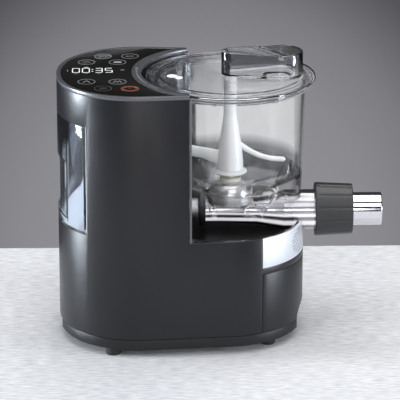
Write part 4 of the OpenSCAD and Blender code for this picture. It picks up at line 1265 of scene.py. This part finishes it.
def stroke(points, width, low):
    # a line of even width along flat points, one closed plate per step
    plates = []
    for a, b in zip(points, points[1:]):
        a, b = Vector(a), Vector(b)
        along = (b - a).normalized() * width * 0.3
        side = Vector((-along.y, along.x)).normalized() * width / 2
        corners = [a - along + side, a - along - side, b + along - side, b + along + side]
        plates.append(prism([tuple(c) for c in corners], low, low + markSizes["thick"]))
    return plates


def ringMark(x, y, radius, width, low, steps=48):
    inner, outer, top = radius - width / 2, radius + width / 2, low + markSizes["thick"]
    points = []
    for k in range(steps):
        a = 2 * math.pi * k / steps
        for r, z in ((inner, low), (outer, low), (outer, top), (inner, top)):
            points.append((x + r * math.cos(a), y + r * math.sin(a), z))
    return [meshFrom("ring", points, ringFaces(steps, 4))]


def arcPoints(x, y, radius, start, end, steps=12):
    turns = [math.radians(start + (end - start) * k / steps) for k in range(steps + 1)]
    return [(x + radius * math.cos(a), y + radius * math.sin(a)) for a in turns]


def shifted(points, x, y):
    return [(x + px, y + py) for px, py in points]


def wave(start, rise):
    return [(start + 0.5 * k, rise + 0.8 * math.sin(k * 1.1)) for k in range(8)]


ringMarks = {
    # middle of each ring, its print, then the thin and the bold lines inside it
    "noodles": (
        (-122.0, 57.9), "grey",
        [wave(-4.6, 1.6), wave(1.1, 1.6), wave(-4.6, -1.6), wave(1.1, -1.6), [(0, 3.6), (0, -3.6)]], [],
    ),
    "soupBowl": ((-93.7, 57.3), "grey", [[(-4.4, 0.6), (4.4, 0.6)]], [arcPoints(0, 2, 4.4, 200, 340)]),
    "deepBowl": ((-139.0, 35.8), "grey", [[(-2.2, 2.8), (2.2, 2.8)]], [arcPoints(0, 1.8, 4.4, 205, 335)]),
    "block": ((-106.7, 35.1), "grey", [], []),
    "sheet": ((-138.0, -35.1), "grey", [], [[(-3.6, -3.2), (0, 3.6), (3.6, -3.2)]]),
    "foldedSheet": ((-106.3, -35.7), "grey", [], [[(-4.2, -3), (-2.2, 3.2), (0, -1.8), (2.2, 3.2), (4.2, -3)]]),
    "list": ((-120.9, -59.4), "faint", [[(-3.6, rise), (3.6, rise)] for rise in (-2.2, 0, 2.2)], []),
    "start": ((-93.6, -60.7), "lit", [[(-0.1, 2.9), (-0.1, -0.4)]], []),
}
blockOutline = [(-3.4, 2.6), (3.4, 2.6), (4.6, -2.6), (-4.6, -2.6)]
clockSizes = {
    "foot": -2.2,
    "tall": 15.2,
    "wide": 7.0,
    "bar": 0.95,
    "digits": (("0", -153.0), ("0", -142.7), ("3", -129.4), ("5", -119.1)),
    "colon": (-132.4, (1.8, 8.8)),
    "overline": [(-141.4, 16.4), (-136.6, 16.4)],
    "underlines": (-150.8, -140.6, -127.4),
    "dot": (-101.3, 6.5, 1.6),
    "leftBar": [(-158.3, 2.4), (-158.3, 7.4)],
}
digitBars = {"0": "abcdef", "3": "abcdg", "5": "acdfg"}


def digit(name, x, low):
    # one figure built from the usual seven bars, its foot at x
    s = clockSizes
    y, tall, wide, inset = s["foot"], s["tall"], s["wide"], s["bar"] * 0.62
    half = tall / 2
    level, upright = (x + inset, x + wide - inset), (y + inset, y + half - inset, y + half + inset, y + tall - inset)
    bars = {
        "a": [(level[0], y + tall), (level[1], y + tall)],
        "b": [(x + wide, upright[3]), (x + wide, upright[2])],
        "c": [(x + wide, upright[1]), (x + wide, upright[0])],
        "d": [(level[0], y), (level[1], y)],
        "e": [(x, upright[1]), (x, upright[0])],
        "f": [(x, upright[3]), (x, upright[2])],
        "g": [(level[0], y + half), (level[1], y + half)],
    }
    return [plate for letter in digitBars[name] for plate in stroke(bars[letter], s["bar"], low)]


def makePanelMarks():
    low, line, fine = markSizes["glass"], markSizes["line"], markSizes["fine"]
    prints = {"white": [], "grey": [], "faint": [], "lit": []}
    for (x, y), shade, thin, bold in ringMarks.values():
        for radius, width in markSizes["litRing" if shade == "lit" else "ring"]:
            prints[shade] += ringMark(x, y, radius, width, low)
        for lines, width in ((thin, fine), (bold, line)):
            for points in lines:
                prints[shade] += stroke(shifted(points, x, y), width, low)
    block = shifted(blockOutline, *ringMarks["block"][0])
    prints["grey"].append(prism(block, low, low + markSizes["thick"]))
    s = clockSizes
    for name, x in s["digits"]:
        prints["white"] += digit(name, x, low)
    x, heights = s["colon"]
    for y in heights:
        prints["white"] += ringMark(x, y, 0.4, 0.8, low, 12)
    prints["white"] += stroke(s["overline"], line, low)
    for x in s["underlines"]:
        prints["grey"] += stroke([(x, -6.2), (x + 3.4, -6.2)], fine, low)
    x, y, radius = s["dot"]
    prints["grey"] += ringMark(x, y, radius, fine, low, 20) + stroke(s["leftBar"], line, low)
    pieces = {
        "panelPrint": ("white", "printWhite"),
        "panelPrintGrey": ("grey", "printGrey"),
        "panelPrintFaint": ("faint", "printFaint"),
        "panelRingLit": ("lit", "litCopper"),
    }
    for name, (shade, finish) in pieces.items():
        placed(name, together(name, prints[shade]), finish, "control_glass")


def makeLockMarks():
    # on the strip: a pointer, bars and an arc that follows the bay
    high, bay, thick = markSizes["strip"], markSizes["lockRadius"], markSizes["thick"]
    lock = []
    for turn in markSizes["lockBars"]:
        lock += stroke(arcPoints(bowlX, 0, bay, turn - 0.5, turn + 0.5, 2), 2.4, high)
    lock += stroke(arcPoints(bowlX, 0, bay, *markSizes["lockArc"], 14), 0.8, high)
    turn = math.radians(markSizes["pointer"])
    tip, side = Vector((math.cos(turn), math.sin(turn))), Vector((-math.sin(turn), math.cos(turn)))
    corners = [tip * (bay - 1.6), tip * (bay + 1.6) + side * 1.6, tip * (bay + 1.6) - side * 1.6]
    lock.append(prism([(bowlX + c.x, c.y) for c in corners], high, high + thick))
    placed("stripPrint", together("stripPrint", lock), "printGrey", "top_bezel")
    # on the lid: two joined bubbles, in the display's glowing white, so they glow too: painted glow
    low = lidSizes["top"] + 0.01
    bubbles = [prism(arcPoints(bowlX + x, y, r, 0, 345, 23), low, low + thick) for x, y, r in markSizes["bubbles"]]
    placed("lidPrint", together("lidPrint", bubbles), "printWhite", "lid")


makeLockMarks()
makePanelMarks()
print("marks made")

keptNodes = {
    "footRubber": ("inlet_grommet",),
    "pocketWhite": ("storage_pocket",),
    "boardGreen": ("control_board", "power_board"),
    "baseBlack": ("display_module", "lid_switch", "cooling_fan"),
    "copperWinding": ("motor_stator",),
    "castAlloy": ("motor_end_bells", "gearbox_case", "gearbox_cover"),
    "pinionBrass": ("motor_pinion", "die_disc", "spare_dies"),
    "trayPlastic": ("fan_shroud", "drawer_tray"),
    "gearIvory": ("compound_gear", "output_gear", "mixer_gear", "dome_bush", "auger_bush"),
    "steelSatin": (
        "motor_can", "motor_rotor", "compound_pin", "output_shaft", "output_bearings",
        "base_screws", "motor_screws", "board_screws",
    ),
}
for keptFinish, nodes in keptNodes.items():
    for keptNode in nodes:
        for slot in frame["nodes"][keptNode].material_slots:
            slot.material = materials[keptFinish]
print("kept nodes finished", sum(len(nodes) for nodes in keptNodes.values()))

bpy.context.scene.view_settings.view_transform = "Standard"
